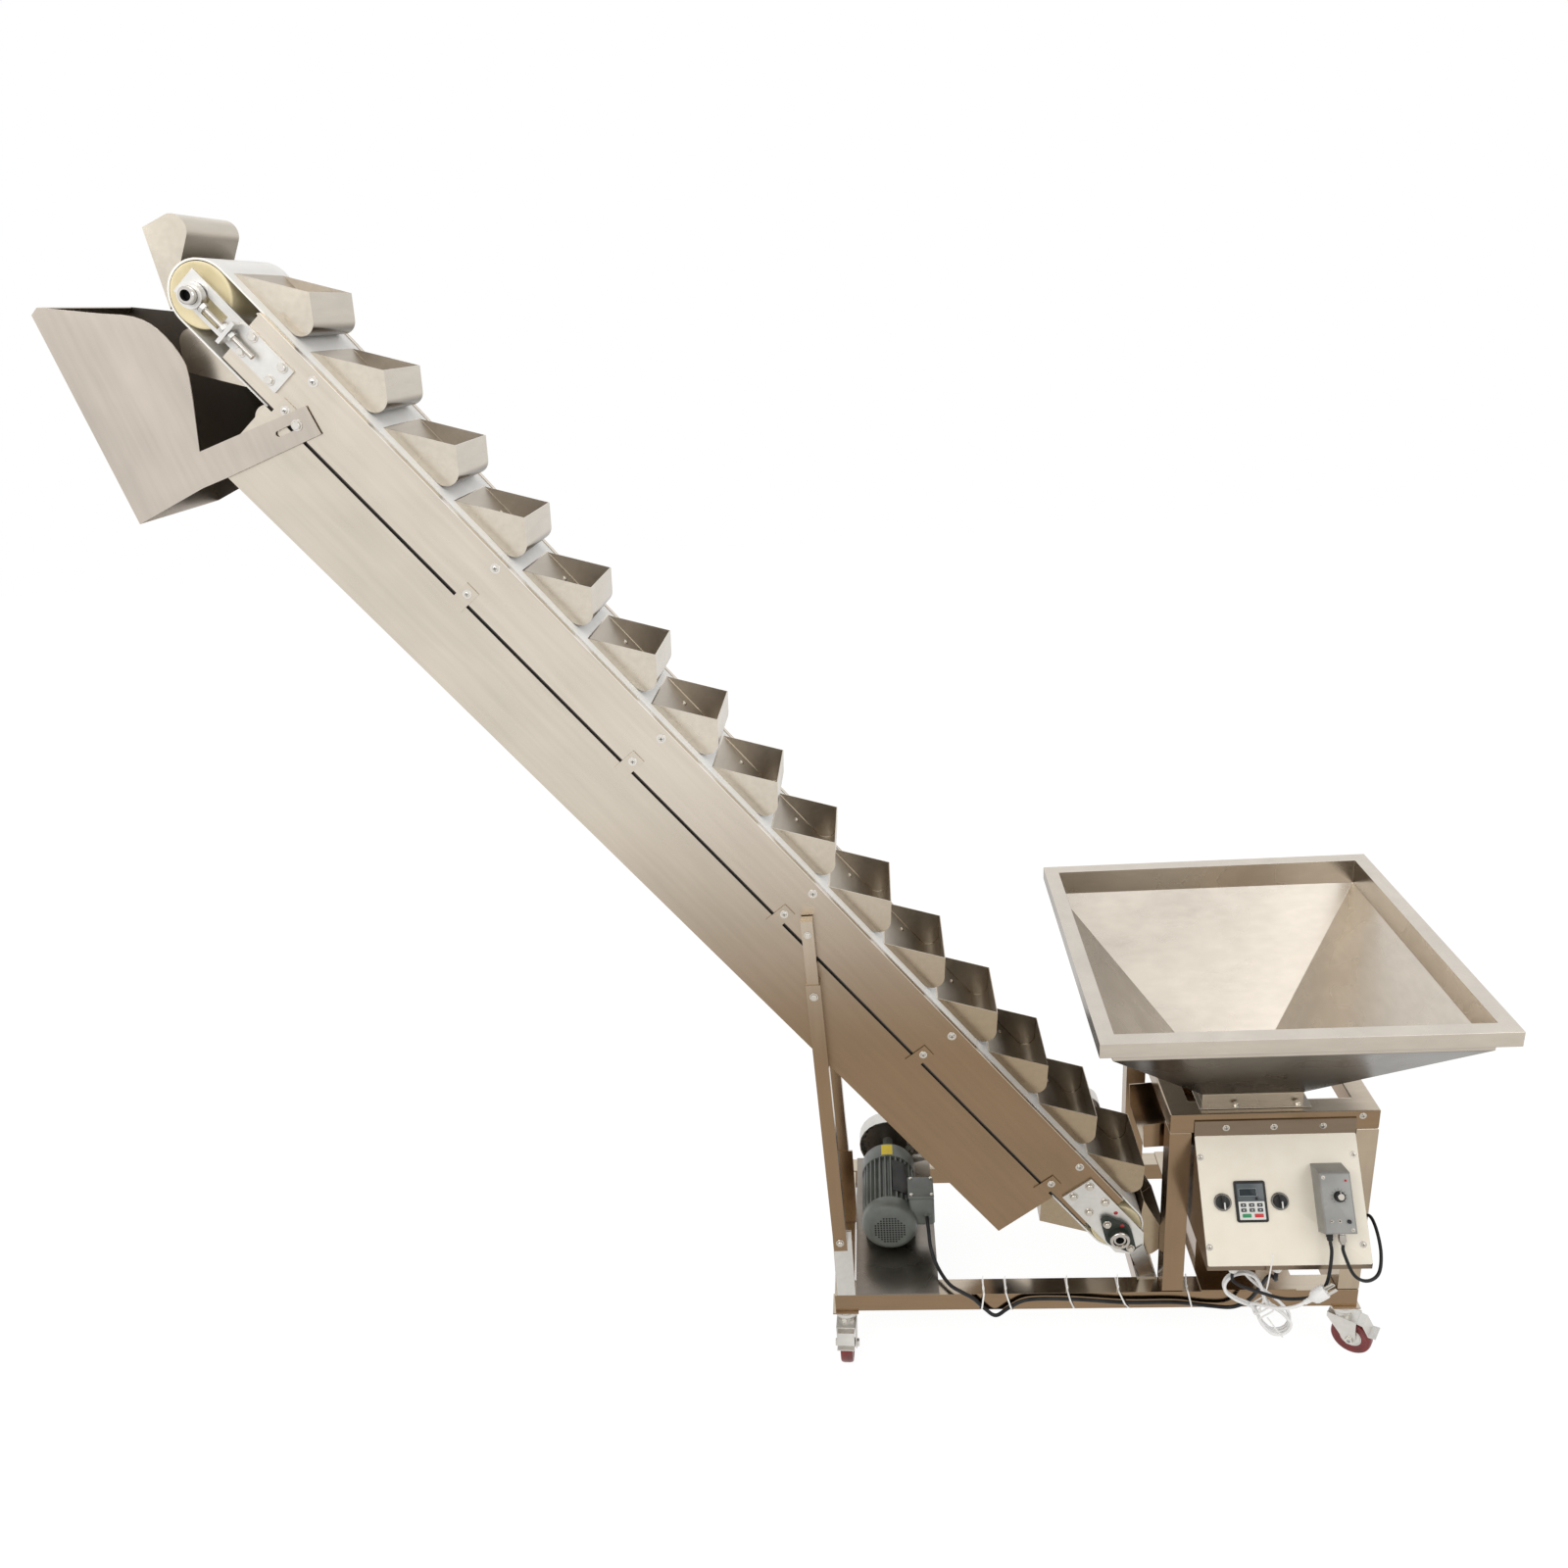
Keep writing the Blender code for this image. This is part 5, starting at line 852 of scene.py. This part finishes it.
# The discharge chute is folded from 2 mm sheet with slotted arms, held to the boom by one bolt a side.
# Its faces that look to the front are painted darker towards the rear: painted shade deep inside the folded mouth.
chute_sheet = metal("chute_sheet", (0.565, 0.505, 0.440), (0.30, 0.25, 0.20), 0.30, (1, 1, 0.08), (0, 0.25, 0),
                    depth=0.01)
tree = chute_sheet.node_tree
shader = tree.nodes["Principled BSDF"]
deep = split(tree, add(tree, "ShaderNodeTexCoord").outputs["Object"])["Y"]
towards = split(tree, add(tree, "ShaderNodeNewGeometry").outputs["Normal"])["Y"]
inside = combine(tree, "MAXIMUM", between(tree, deep, 1.0, 0.16, -0.06, 0.09),
                 between(tree, towards, 0.0, 1.0, -0.4, 0.0))
wire(tree, shader, {"Base Color": shaded(tree, shader.inputs["Base Color"].links[0].from_socket, inside)})
dress(chute_sheet, "discharge_chute")
round_edges(0.0006, "discharge_chute")
arm_x, arm_face, arm_z = -0.7290, 0.1248, 1.8935
for side, label in both_sides:
    bolts("chute_bolt_" + label, [(arm_x, side * arm_face, arm_z)], (0, side, 0), 0.0068, 0.0055)

# The gear motor is a painted aluminium frame with cooling fins and a pierced fan cowl, foot-mounted
# on a polished stainless plate. Its chain drive runs in a zinc-plated guard behind the boom.
motor_paint = moulded("motor_paint", (0.150, 0.165, 0.150), (0.110, 0.120, 0.110), 0.36, 500.0, 0.05)
motor_x, motor_z = 0.102, 0.2223
motor_origin = (motor_x, 0, motor_z)
cowl = mm(0, -15, 38, -15, 42, -14.6, 45.5, -12.8, 50, -10, 54, -6.2, 56.4, -2, 57.4, 3, 57.5, 7, 57.5, 20, 57, 20.8,
          48.5, 20.8, 48.5, 148, 56.6, 148, 57.5, 149, 57.5, 186, 56, 189, 47, 198.5, 40, 204.5, 11, 205, 11, 279,
          0, 279)
fin_count = 30
a = np.linspace(0, 2 * np.pi, fin_count * 8, endpoint=False)
fin_radius = 0.0480 + 0.0083 * np.clip(1.6 * np.cos(fin_count * a) + 0.35, 0, 1)
fins = prism(np.column_stack([fin_radius * np.cos(a), fin_radius * np.sin(a)]), 0.0202, 0.1484)
upright = axes_of((1, 0, 0), (0, -1, 0), (0, 0, 1))
feet = [moved(prism(oblong(x - 0.012, x + 0.012, -0.1110, -0.0350), 0.1590, 0.1930), upright, (motor_x, 0, 0))
        for x in (-0.040, 0.040)]


def cushion_box(low, high, corner):
    """A box with rounded corners in plan and eased top and bottom edges: rings of one rounded outline."""
    low, high = np.array(low, float), np.array(high, float)
    middle, half = (low + high) / 2, (high - low) / 2
    a = np.radians(np.arange(0, 360, 15.0) + 7.5)
    rings = []
    for inset, z in ((corner, -half[2]), (0.3 * corner, -half[2] + 0.3 * corner), (0, -half[2] + corner),
                     (0, half[2] - corner), (0.3 * corner, half[2] - 0.3 * corner), (corner, half[2])):
        reach = corner - inset + 1e-5
        x = np.sign(np.cos(a)) * (half[0] - corner) + reach * np.cos(a)
        y = np.sign(np.sin(a)) * (half[1] - corner) + reach * np.sin(a)
        rings.append(np.column_stack([x, y, np.full(len(a), z)]))
    n = len(a)
    return np.vstack(rings) + middle, quads(6, n, True) + [tuple(range(n)), tuple(range(5 * n, 6 * n))]


terminal = [cushion_box((0.1437, 0.0030, 0.2160), (0.1953, 0.0610, 0.2850), 0.006),
            cushion_box((0.1420, 0.0010, 0.2850), (0.1953, 0.0610, 0.2942), 0.003)]
cable_entry, terminal_top = (0.1795, 0.0034, 0.2423), 0.2943
entry = moved(revolve(mm(0, 6, 5.2, 6, 7, 2, 7.8, 0, 0, 0), 24), near_face, cable_entry)
turned = [moved(shape, across_axes, motor_origin) for shape in (revolve(cowl, 72), fins)]
solid("motor_frame", [*turned, *feet, *terminal, entry], motor_paint, "motor_grey", sharp=32, stands_for="gear_motor")
hole_pitch, hole_radius, holes_within = 0.0059, 0.0021, 0.0325
grid = hole_pitch * (np.arange(11) - 5)
holes = [(x, y) for x in grid for y in grid if math.hypot(x, y) < holes_within]
# The cowl's holes are black discs on its face: painted shade.
solid("cowl_holes", [moved(prism(circle(hole_radius, 10) + spot, -0.01515, -0.0149), across_axes, motor_origin)
                     for spot in holes], painted_hole_shade, "black_plastic")


def curved_patch(radius, first, last, low, high, thick):
    """A thin patch that follows the motor's round: (r cos a, r sin a, h) over an arc and a length."""
    a = np.radians(np.linspace(first, last, 12))
    arc = np.column_stack([np.cos(a), np.sin(a)])
    outline = np.vstack([arc * (radius + thick), arc[::-1] * radius])
    return moved(prism(outline, low, high), across_axes, motor_origin)


sticker = moulded("sticker_yellow", (0.80, 0.62, 0.02), (0.72, 0.54, 0.03), 0.42)
plate_dark = moulded("plate_dark", (0.02, 0.02, 0.02), (0.05, 0.05, 0.048), 0.28)
solid("blank_sticker", [curved_patch(0.0573, -103, -79, 0.1520, 0.1840, 0.0005)], sticker, "cream_pulley")
solid("blank_rating_plate", [curved_patch(0.0562, -80, -48, 0.0400, 0.1350, 0.0012)], plate_dark, "black_plastic")
bolts("terminal_screws", [(x, y, terminal_top) for y in (0.0064, 0.0556) for x in (0.1490, 0.1905)], (0, 0, 1),
      0.0026, 0.0022)
chain_grey = metal("chain_steel", (0.36, 0.33, 0.29), (0.24, 0.21, 0.18), 0.34, mottle=0.2)
chain_rounds = [(motor_x, motor_z, 0.046), (0.540, 0.307, 0.0245)]
chain_near, chain_far = 0.2675, 0.2765
link_reach, link_waist, link_lift = 0.0036, 0.0011, 0.0018


def chain_band(links, steps=6):
    """A roller chain round two sprockets: their hull, with a height waisted by cos(2 pi k) at every link k."""
    line = hull(chain_rounds, 2.0)
    line = np.vstack([line, line[:1]])
    path = at_travel(line, np.linspace(0, travel_along(line)[-1], links * steps, endpoint=False))
    normal = outward(path)
    reach = (link_reach + link_waist * np.cos(2 * np.pi * np.arange(links * steps) / steps))[:, None]
    rings = []
    for out, y in ((1, chain_near), (1, chain_far), (-1, chain_far), (-1, chain_near), (1, chain_near)):
        flat = path + out * reach * normal + link_lift * normal
        rings.append(np.column_stack([flat[:, 0], np.full(len(flat), y), flat[:, 1]]))
    return np.stack(rings).reshape(-1, 3), quads(5, links * steps, True)


solid("drive_chain", [chain_band(92)], chain_grey, "zinc_plate", sharp=50)
sprocket = prism(toothed(0.046, 24, 120, 0.03) * 0.965, 0.2695, 0.2745)
solid("motor_sprocket", [moved(sprocket, across_axes, motor_origin)], chain_grey, "zinc_plate")
dress(zinc, "chain_guard")
# A darker copy of the stainless: painted shade under the motor.
plate_shade_under_motor = metal("plate_shade_under_motor", (0.34, 0.315, 0.285), (0.20, 0.17, 0.14), 0.27, (0.2, 1, 1), mottle=0.12)
dress(plate_shade_under_motor, "motor_plate")

# The vibrating feeder is a stainless tray on leaf springs, driven by a coil. It is mostly hidden
# by the stand and the hopper.
dress(tube_x, "vibrating_feeder")

# The control box is a folded cream lid over a dark case, hung on the stand's top rail by a flange.
# Its white glands, the two switches, the keypad and the grey feeder controller are bought parts.
lid_cream = moulded("lid_cream", (0.92, 0.855, 0.735), (0.89, 0.82, 0.695), 0.34, 900.0, 0.03)
case_dark = metal("case_dark", (0.44, 0.37, 0.29), (0.20, 0.150, 0.105), 0.24, (0.2, 1, 1), mottle=0.12)
gland_white = moulded("gland_white", (0.92, 0.91, 0.88), (0.84, 0.82, 0.78), 0.36)
knob_black = moulded("knob_black", (0.018, 0.018, 0.019), (0.04, 0.04, 0.04), 0.32)
paint_white = moulded("paint_white", (0.82, 0.82, 0.80), (0.72, 0.71, 0.68), 0.40)
bezel_rim = metal("bezel_rim", (0.30, 0.29, 0.27), (0.20, 0.19, 0.17), 0.22, mottle=0.08)
panel_axes = axes_of((1, 0, 0), (0, math.sin(panel_lean), math.cos(panel_lean)),
                     (0, -math.cos(panel_lean), math.sin(panel_lean)))


def panel_solid(name, shapes, finish, slot="black_plastic", **more):
    """A piece whose shapes are drawn on the panel: x, up the slope and out of its face."""
    return solid(name, [moved(shape, panel_axes, on_panel(0, 0, 0)) for shape in shapes], finish, slot, **more)


def on_spot(spot, *shapes):
    """Shapes shifted on the panel."""
    return [(points + np.array(spot), faces) for points, faces in shapes]


def rounded(left, right, low, high, corner, steps=5):
    """A rectangle with round corners: quarter circles (x + r cos a, y + r sin a)."""
    a = np.radians(np.linspace(0, 90, steps))
    outline = [np.column_stack([x + corner * np.cos(a + turn), y + corner * np.sin(a + turn)]) for x, y, turn in
               ((right - corner, high - corner, 0), (left + corner, high - corner, np.pi / 2),
                (left + corner, low + corner, np.pi), (right - corner, low + corner, 1.5 * np.pi))]
    return np.vstack(outline)


def cushion(left, right, low, high, corner, base, top, ease):
    """A rounded slab whose top edge is eased: rings of one outline drawn in by r (1 - cos a), up by r sin a."""
    rings = []
    for inset, level in ((0, base), (0, top - ease), (0.3 * ease, top - 0.3 * ease), (ease, top)):
        ring = rounded(left + inset, right - inset, low + inset, high - inset, max(corner - inset, 0.0002))
        rings.append(np.column_stack([ring, np.full(len(ring), level)]))
    n = len(rings[0])
    faces = quads(4, n, True) + [tuple(range(n))[::-1], tuple(range(3 * n, 4 * n))]
    return np.vstack(rings), faces


sideways = axes_of((0, 1, 0), (0, 0, 1), (1, 0, 0))
case_outline = mm(-88, 530, -88, 334.5, -253.8, 334.5, -253.8, 346, -126, 528.5, -125, 561.5, -122.5, 561.5,
                  -122.5, 531)
solid("box_case", [moved(prism(case_outline, 0.6725, 0.9595), sideways, (0, 0, 0))], case_dark, "panel_sheet",
      stands_for="control_box")
panel_solid("box_lid", [cushion(0.6730, 0.9590, -0.2265, -0.0010, 0.003, -0.0005, 0.0008, 0.0006)], lid_cream,
            "panel_sheet", sharp=30)
flange_face, flange_row, box_floor = -0.1252, 0.5465, 0.3345
screws("flange_screws", [(x, flange_face, flange_row) for x in (0.729, 0.814, 0.901)], (0, -1, 0), scale=0.80)
screws("lid_screws", [on_panel(x, down, 0.0008) for x, down in mm(679, -38.5, 950.4, -39, 679, -194, 946.8, -193)],
       panel_axes[:, 2], scale=0.72)
gland_profile = mm(0, 0, 10.8, 0, 10.8, 4, 9.6, 4.5, 9.6, 6.5, 10.8, 6.8, 10.8, 12.5, 10, 14, 8.8, 21, 7, 23.8, 3.6, 24,
                   0, 24)
hanging = axes_of((1, 0, 0), (0, -1, 0), (0, 0, -1))
for label, x, y in (("supply", 0.725, -0.230), ("motor", 0.803, -0.230), ("mains", 0.748, -0.203)):
    solid("gland_" + label, [moved(revolve(gland_profile, 12), hanging, (x, y, box_floor))], gland_white,
          "panel_sheet", sharp=25)

bezel = mm(0, 3.4, 11.8, 3.4, 12.4, 4, 14.6, 4, 15.5, 3, 15.5, 0, 0, 0)
knob = mm(0, 6.2, 9.6, 6, 11.2, 5.2, 12, 3.6, 12.2, 0.2, 0, 0.2)
bar = cushion(-0.0033, 0.0033, -0.0118, 0.0118, 0.0030, 0.0040, 0.0132, 0.0012)
pointer = cushion(-0.0013, 0.0013, -0.0112, 0.0010, 0.0010, 0.0131, 0.01345, 0.0002)
switch_row, bezel_top = -0.117, 0.0041
for label, x in (("switch_left", 0.710), ("switch_right", 0.811)):
    panel_solid("bezel_" + label, on_spot((x, switch_row, 0), revolve(bezel, 48)), bezel_rim, "panel_sheet",
                sharp=30)
    spot = (x, switch_row, bezel_top)
    panel_solid(label + "_grip", on_spot(spot, revolve(knob, 48), bar), knob_black, body=label + "_knob", sharp=30,
                stands_for=label)
    panel_solid(label + "_pointer", on_spot(spot, pointer), paint_white, body=label + "_knob")

keypad_grey = moulded("keypad_grey", (0.060, 0.068, 0.072), (0.085, 0.09, 0.092), 0.30)
display_grey = moulded("display_grey", (0.075, 0.090, 0.100), (0.10, 0.115, 0.12), 0.16)
rim_grey = moulded("rim_grey", (0.24, 0.26, 0.27), (0.30, 0.31, 0.31), 0.30)
window_dark = moulded("window_dark", (0.020, 0.030, 0.034), (0.03, 0.04, 0.044), 0.10)
keypad_turn = revolve(mm(0, 2, 2, 1.8, 2.6, 0, 0, 0), 20)
key_spots = [(x, y, 0) for y in (-0.1225, -0.1312) for x in (0.7455, 0.7602, 0.7746)]
key_cap = cushion(-0.0048, 0.0048, -0.0031, 0.0031, 0.0010, 0.0043, 0.0052, 0.0003)
key_mark = cushion(-0.0015, 0.0015, -0.0008, 0.0008, 0.0003, 0.0050, 0.0053, 0.0001)
panel_solid("keypad_frame", [cushion(0.7322, 0.7878, -0.1523, -0.0807, 0.004, 0.0005, 0.0042, 0.0010)], knob_black,
            stands_for="keypad")
for part, shapes, finish, slot in (
        ("display", [cushion(0.7365, 0.7835, -0.1160, -0.0855, 0.0015, 0.0040, 0.0046, 0.0003)], display_grey, None),
        ("window_rim", [cushion(0.7398, 0.7712, -0.1072, -0.0938, 0.0010, 0.0045, 0.0048, 0.0001)], rim_grey, None),
        ("window", [cushion(0.7406, 0.7704, -0.1064, -0.0946, 0.0008, 0.0047, 0.0050, 0.0001)], window_dark, None),
        ("knob", on_spot((0.7700, -0.1118, 0.0045), keypad_turn), knob_black, None),
        ("label", [cushion(0.7372, 0.7832, -0.1478, -0.1163, 0.0010, 0.0040, 0.0045, 0.0002)], paint_white,
         "panel_sheet"),
        ("keys", [shape for spot in key_spots for shape in on_spot(spot, key_cap)], keypad_grey, None),
        ("marks", [shape for spot in key_spots for shape in on_spot(spot, key_mark)], paint_white, None)):
    panel_solid("keypad_" + part, shapes, finish, slot or "black_plastic")
for label, x, colour in (("green", 0.7500, (0.02, 0.23, 0.09)), ("red", 0.7715, (0.56, 0.03, 0.03))):
    key = cushion(x - 0.0078, x + 0.0078, -0.1438, -0.1376, 0.0010, 0.0043, 0.0053, 0.0003)
    panel_solid("keypad_%s_key" % label, [key], moulded("key_" + label, colour, tuple(c * 1.2 for c in colour), 0.30))

controller_grey = moulded("controller_grey", (0.30, 0.295, 0.28), (0.26, 0.255, 0.24), 0.36, 900.0, 0.04)
controller_face = moulded("controller_face", (0.36, 0.36, 0.345), (0.31, 0.31, 0.30), 0.28)
wedge = mm(-169.8, 0.4, -52.7, 0.4, -52.7, 3, -66, 40.2, -67.6, 41.2, -168.6, 41.2, -169.8, 40)
panel_solid("controller_case", [moved(prism(wedge, 0.8722, 0.9258), sideways, (0, 0, 0))], controller_grey,
            "controller_grey", sharp=25, stands_for="vibration_controller")
panel_solid("controller_front", [cushion(0.8742, 0.9238, -0.1676, -0.0690, 0.002, 0.0408, 0.0418, 0.0005)],
            controller_face, "controller_grey")
grip = mm(0, 14, 3.6, 14, 4.6, 13.5, 5.6, 9.5, 5, 8.8, 6.2, 5.5, 5.6, 4.8, 6.6, 1.5, 6.6, 0, 0, 0)
connector = mm(0, 20, 4.6, 20, 5, 16, 6.6, 15.5, 7, 14, 7, 4, 6, 3.5, 6, 0, 0, 0)
panel_solid("controller_grip", [moved(revolve(grip, 24), downwards, (0.884, -0.1698, 0.021))], knob_black)
panel_solid("controller_connector", [moved(revolve(connector, 28), downwards, (0.905, -0.1698, 0.021))], shaft_steel,
            "zinc_plate")

dial_spot = np.array((0.902, -0.1065, 0.0421))
dial_skirt = mm(0, 11.8, 6, 11.8, 7.2, 11.2, 8.4, 7, 9.3, 5.5, 9.4, 0.4, 0, 0.4)
dial_cap = mm(0, 0.8, 5.2, 0.8, 5.7, 0.4, 5.8, 0, 0, 0)
dial_mark = cushion(-0.0005, 0.0005, 0.0058, 0.0088, 0.0003, 0.0056, 0.0120, 0.0002)
knurl = prism(toothed(0.0080, 24, 96, 0.035), 0.0050, 0.0108)
panel_solid("dial_grip", on_spot(dial_spot, revolve(dial_skirt, 48), knurl), knob_black, body="speed_dial_knob",
            sharp=30, stands_for="speed_dial")
panel_solid("dial_cap", on_spot(dial_spot + (0, 0, 0.0117), revolve(dial_cap, 32)), bright_screw,
            body="speed_dial_knob")
panel_solid("dial_pointer", on_spot(dial_spot, dial_mark), paint_white, body="speed_dial_knob")
tick = prism(oblong(0.0112, 0.0140, -0.00025, 0.00025), 0.0417, 0.04195)
ticks = []
for k in range(11):
    a = math.radians(225 - 27 * k)
    turn = axes_of((math.cos(a), math.sin(a), 0), (-math.sin(a), math.cos(a), 0), (0, 0, 1))
    ticks.append(moved(tick, turn, dial_spot * (1, 1, 0)))
panel_solid("dial_ticks", ticks, knob_black)

front = 0.0418
small_nut = mm(0, 1, 3, 1, 3, 0, 0, 0)
lever = mm(0, 7.8, 0.9, 7.6, 1.1, 6.6, 0.7, 1, 0, 1)
push = mm(0, 4.2, 2.6, 4.2, 3.4, 3.4, 3.6, 0, 0, 0)
dot = mm(0, 1.3, 1.6, 1.3, 1.6, 0, 0, 0)
lamp_dome = mm(0, 3.2, 1.2, 2.8, 1.9, 1.4, 2, 0, 0, 0)
toggle_spot, nut_spot = (0.8845, -0.148, front), (0.8980, -0.148, front)
panel_solid("controller_toggle", on_spot(toggle_spot, revolve(small_nut, 6), revolve(lever, 16))
            + on_spot(nut_spot, revolve(small_nut, 24)), bright_screw, "zinc_plate")
panel_solid("controller_button", on_spot((0.914, -0.149, front), revolve(push, 28))
            + on_spot(nut_spot, revolve(dot, 20)), knob_black)
panel_solid("controller_lamp", on_spot((0.9167, -0.0800, front), revolve(lamp_dome, 20)),
            moulded("lamp_lens", (0.62, 0.02, 0.015), (0.50, 0.02, 0.02), 0.12), "red_tyre")
screws("controller_screws", [on_panel(0.8790, -0.0740, front), on_panel(0.9190, -0.1630, front)], panel_axes[:, 2],
       scale=0.42)

# White nylon ties bind the motor cable to the base rail and hold the folded mains lead together.
# A brass fitting hangs by the glands.
tie_nylon = moulded("tie_nylon", (0.95, 0.95, 0.93), (0.88, 0.87, 0.84), 0.30)
tie_thick = 0.0009


def tie_loop(outline, width):
    """A strap round an outline (u, v): each point pushed out along n, with its four corners half a width apart."""
    line = np.array(outline, float)
    normal = outward(line)
    rings = [np.column_stack([line + normal * lift * tie_thick, np.full(len(line), side * width / 2)])
             for lift, side in ((0, -1), (0, 1), (1, 1), (1, -1), (0, -1))]
    return np.vstack(rings), quads(5, len(line), True)


def tie_head(height):
    """The lock of a tie."""
    return cushion(-0.0024, 0.0024, -0.0030, 0.0030, 0.0006, 0.0, height, 0.0008)


rail_low, rail_high, cable_high, cable_y = 0.1180, 0.1520, 0.1500, -0.1285
rail = [(y, z, 0.0034) for y, z in ((-0.1190, rail_low), (-0.1190, rail_high), (-0.0850, rail_high),
                                    (-0.0850, rail_low))]
leaning_back = axes_of((1, 0, 0), (0, 0.35, 0.94), (0, -0.94, 0.35))
cut_tail = prism([(-0.0012, 0.0), (0.0012, 0.0), (0.0010, 0.0220), (-0.0010, 0.0220)], 0.0, tie_thick)
loops = []
for x, lean in ((0.279, 0.004), (0.333, -0.006), (0.454, -0.006), (0.557, -0.010), (0.683, -0.004)):
    z = float(np.interp(x, motor_path[:200, 0], motor_path[:200, 2]))
    line = hull([*rail, (cable_y, min(max(z, rail_low), cable_high), 0.0040)], 4.0)
    points, faces = moved(tie_loop(line, 0.0032), sideways, (x, 0, 0))
    points[:, 0] += lean * (points[:, 2] - 0.135) / 0.02
    loops += [(points, faces), moved(tie_head(0.0032), np.eye(3), (x + lean, -0.1080, 0.1560)),
              moved(cut_tail, leaning_back, (x + lean, -0.1068, 0.1575))]
solid("rail_ties", loops, tie_nylon, "white_cord")


def tie_tail(points, width):
    """A flat tail along a route: four corners a half width and a half thickness from each point."""
    line = eased(points, 6)
    step = np.gradient(line, axis=0)
    side = np.cross(step, (0, 1, 0.3))
    side /= np.linalg.norm(side, axis=1)[:, None]
    out = np.cross(side, step)
    out /= np.linalg.norm(out, axis=1)[:, None]
    rings = [line + side * w * width / 2 + out * h * tie_thick / 2
             for w, h in ((-1, -1), (1, -1), (1, 1), (-1, 1), (-1, -1))]
    n = len(line)
    first, last = tuple(k * n for k in range(4)), tuple(k * n + n - 1 for k in range(3, -1, -1))
    return np.vstack(rings), quads(5, n, False) + [first, last]


hank_run = np.array((hank_ends[1][0] - hank_ends[0][0], 0, hank_ends[1][1] - hank_ends[0][1]))
hank_run /= np.linalg.norm(hank_run)
tie_axes = axes_of(np.cross(hank_run, (0, 1, 0)), (0, 1, 0), hank_run)
strap = hull([(x, y, 0.0034) for x in (-0.0125, 0.0125) for y in (-0.0100, 0.0100)], 6.0)
middle_y = (hank_depths[0] + hank_depths[1]) / 2
hank_straps = []
for share in (0.50, 0.60):
    centre = hank_ends[0] + share * (hank_ends[1] - hank_ends[0])
    hank_straps.append(moved(tie_loop(strap, 0.0030), tie_axes, (centre[0], middle_y, centre[1])))
x, z = hank_tie
hank_straps.append(moved(tie_head(0.0034), near_face, (x - 0.006, middle_y - 0.0140, z + 0.004)))
hank_straps.append(tie_tail([(x - 0.006, middle_y - 0.0155, z + 0.004), (x - 0.007, middle_y - 0.030, z + 0.040),
                             (x - 0.006, -0.2620, z + 0.095), (x - 0.005, -0.2720, 0.388)], 0.0024))
hank_straps.append(tie_tail([(x + 0.010, middle_y - 0.0135, z - 0.016), (x + 0.026, middle_y - 0.018, z - 0.040),
                             (x + 0.040, middle_y - 0.016, z - 0.062)], 0.0024))
solid("hank_ties", hank_straps, tie_nylon, "white_cord")

brass = metal("brass_fitting", (0.62, 0.46, 0.22), (0.38, 0.27, 0.12), 0.25, mottle=0.10)
fitting = mm(0, 0, 5.5, 0, 5.5, 6, 3.6, 6.5, 3.6, 14, 5, 14.5, 5, 18.5, 3, 19, 3, 24, 0, 24)
solid("earth_stud", [moved(revolve(fitting, 12), hanging, (0.8250, -0.2200, box_floor + 0.0001))], brass,
      "zinc_plate")
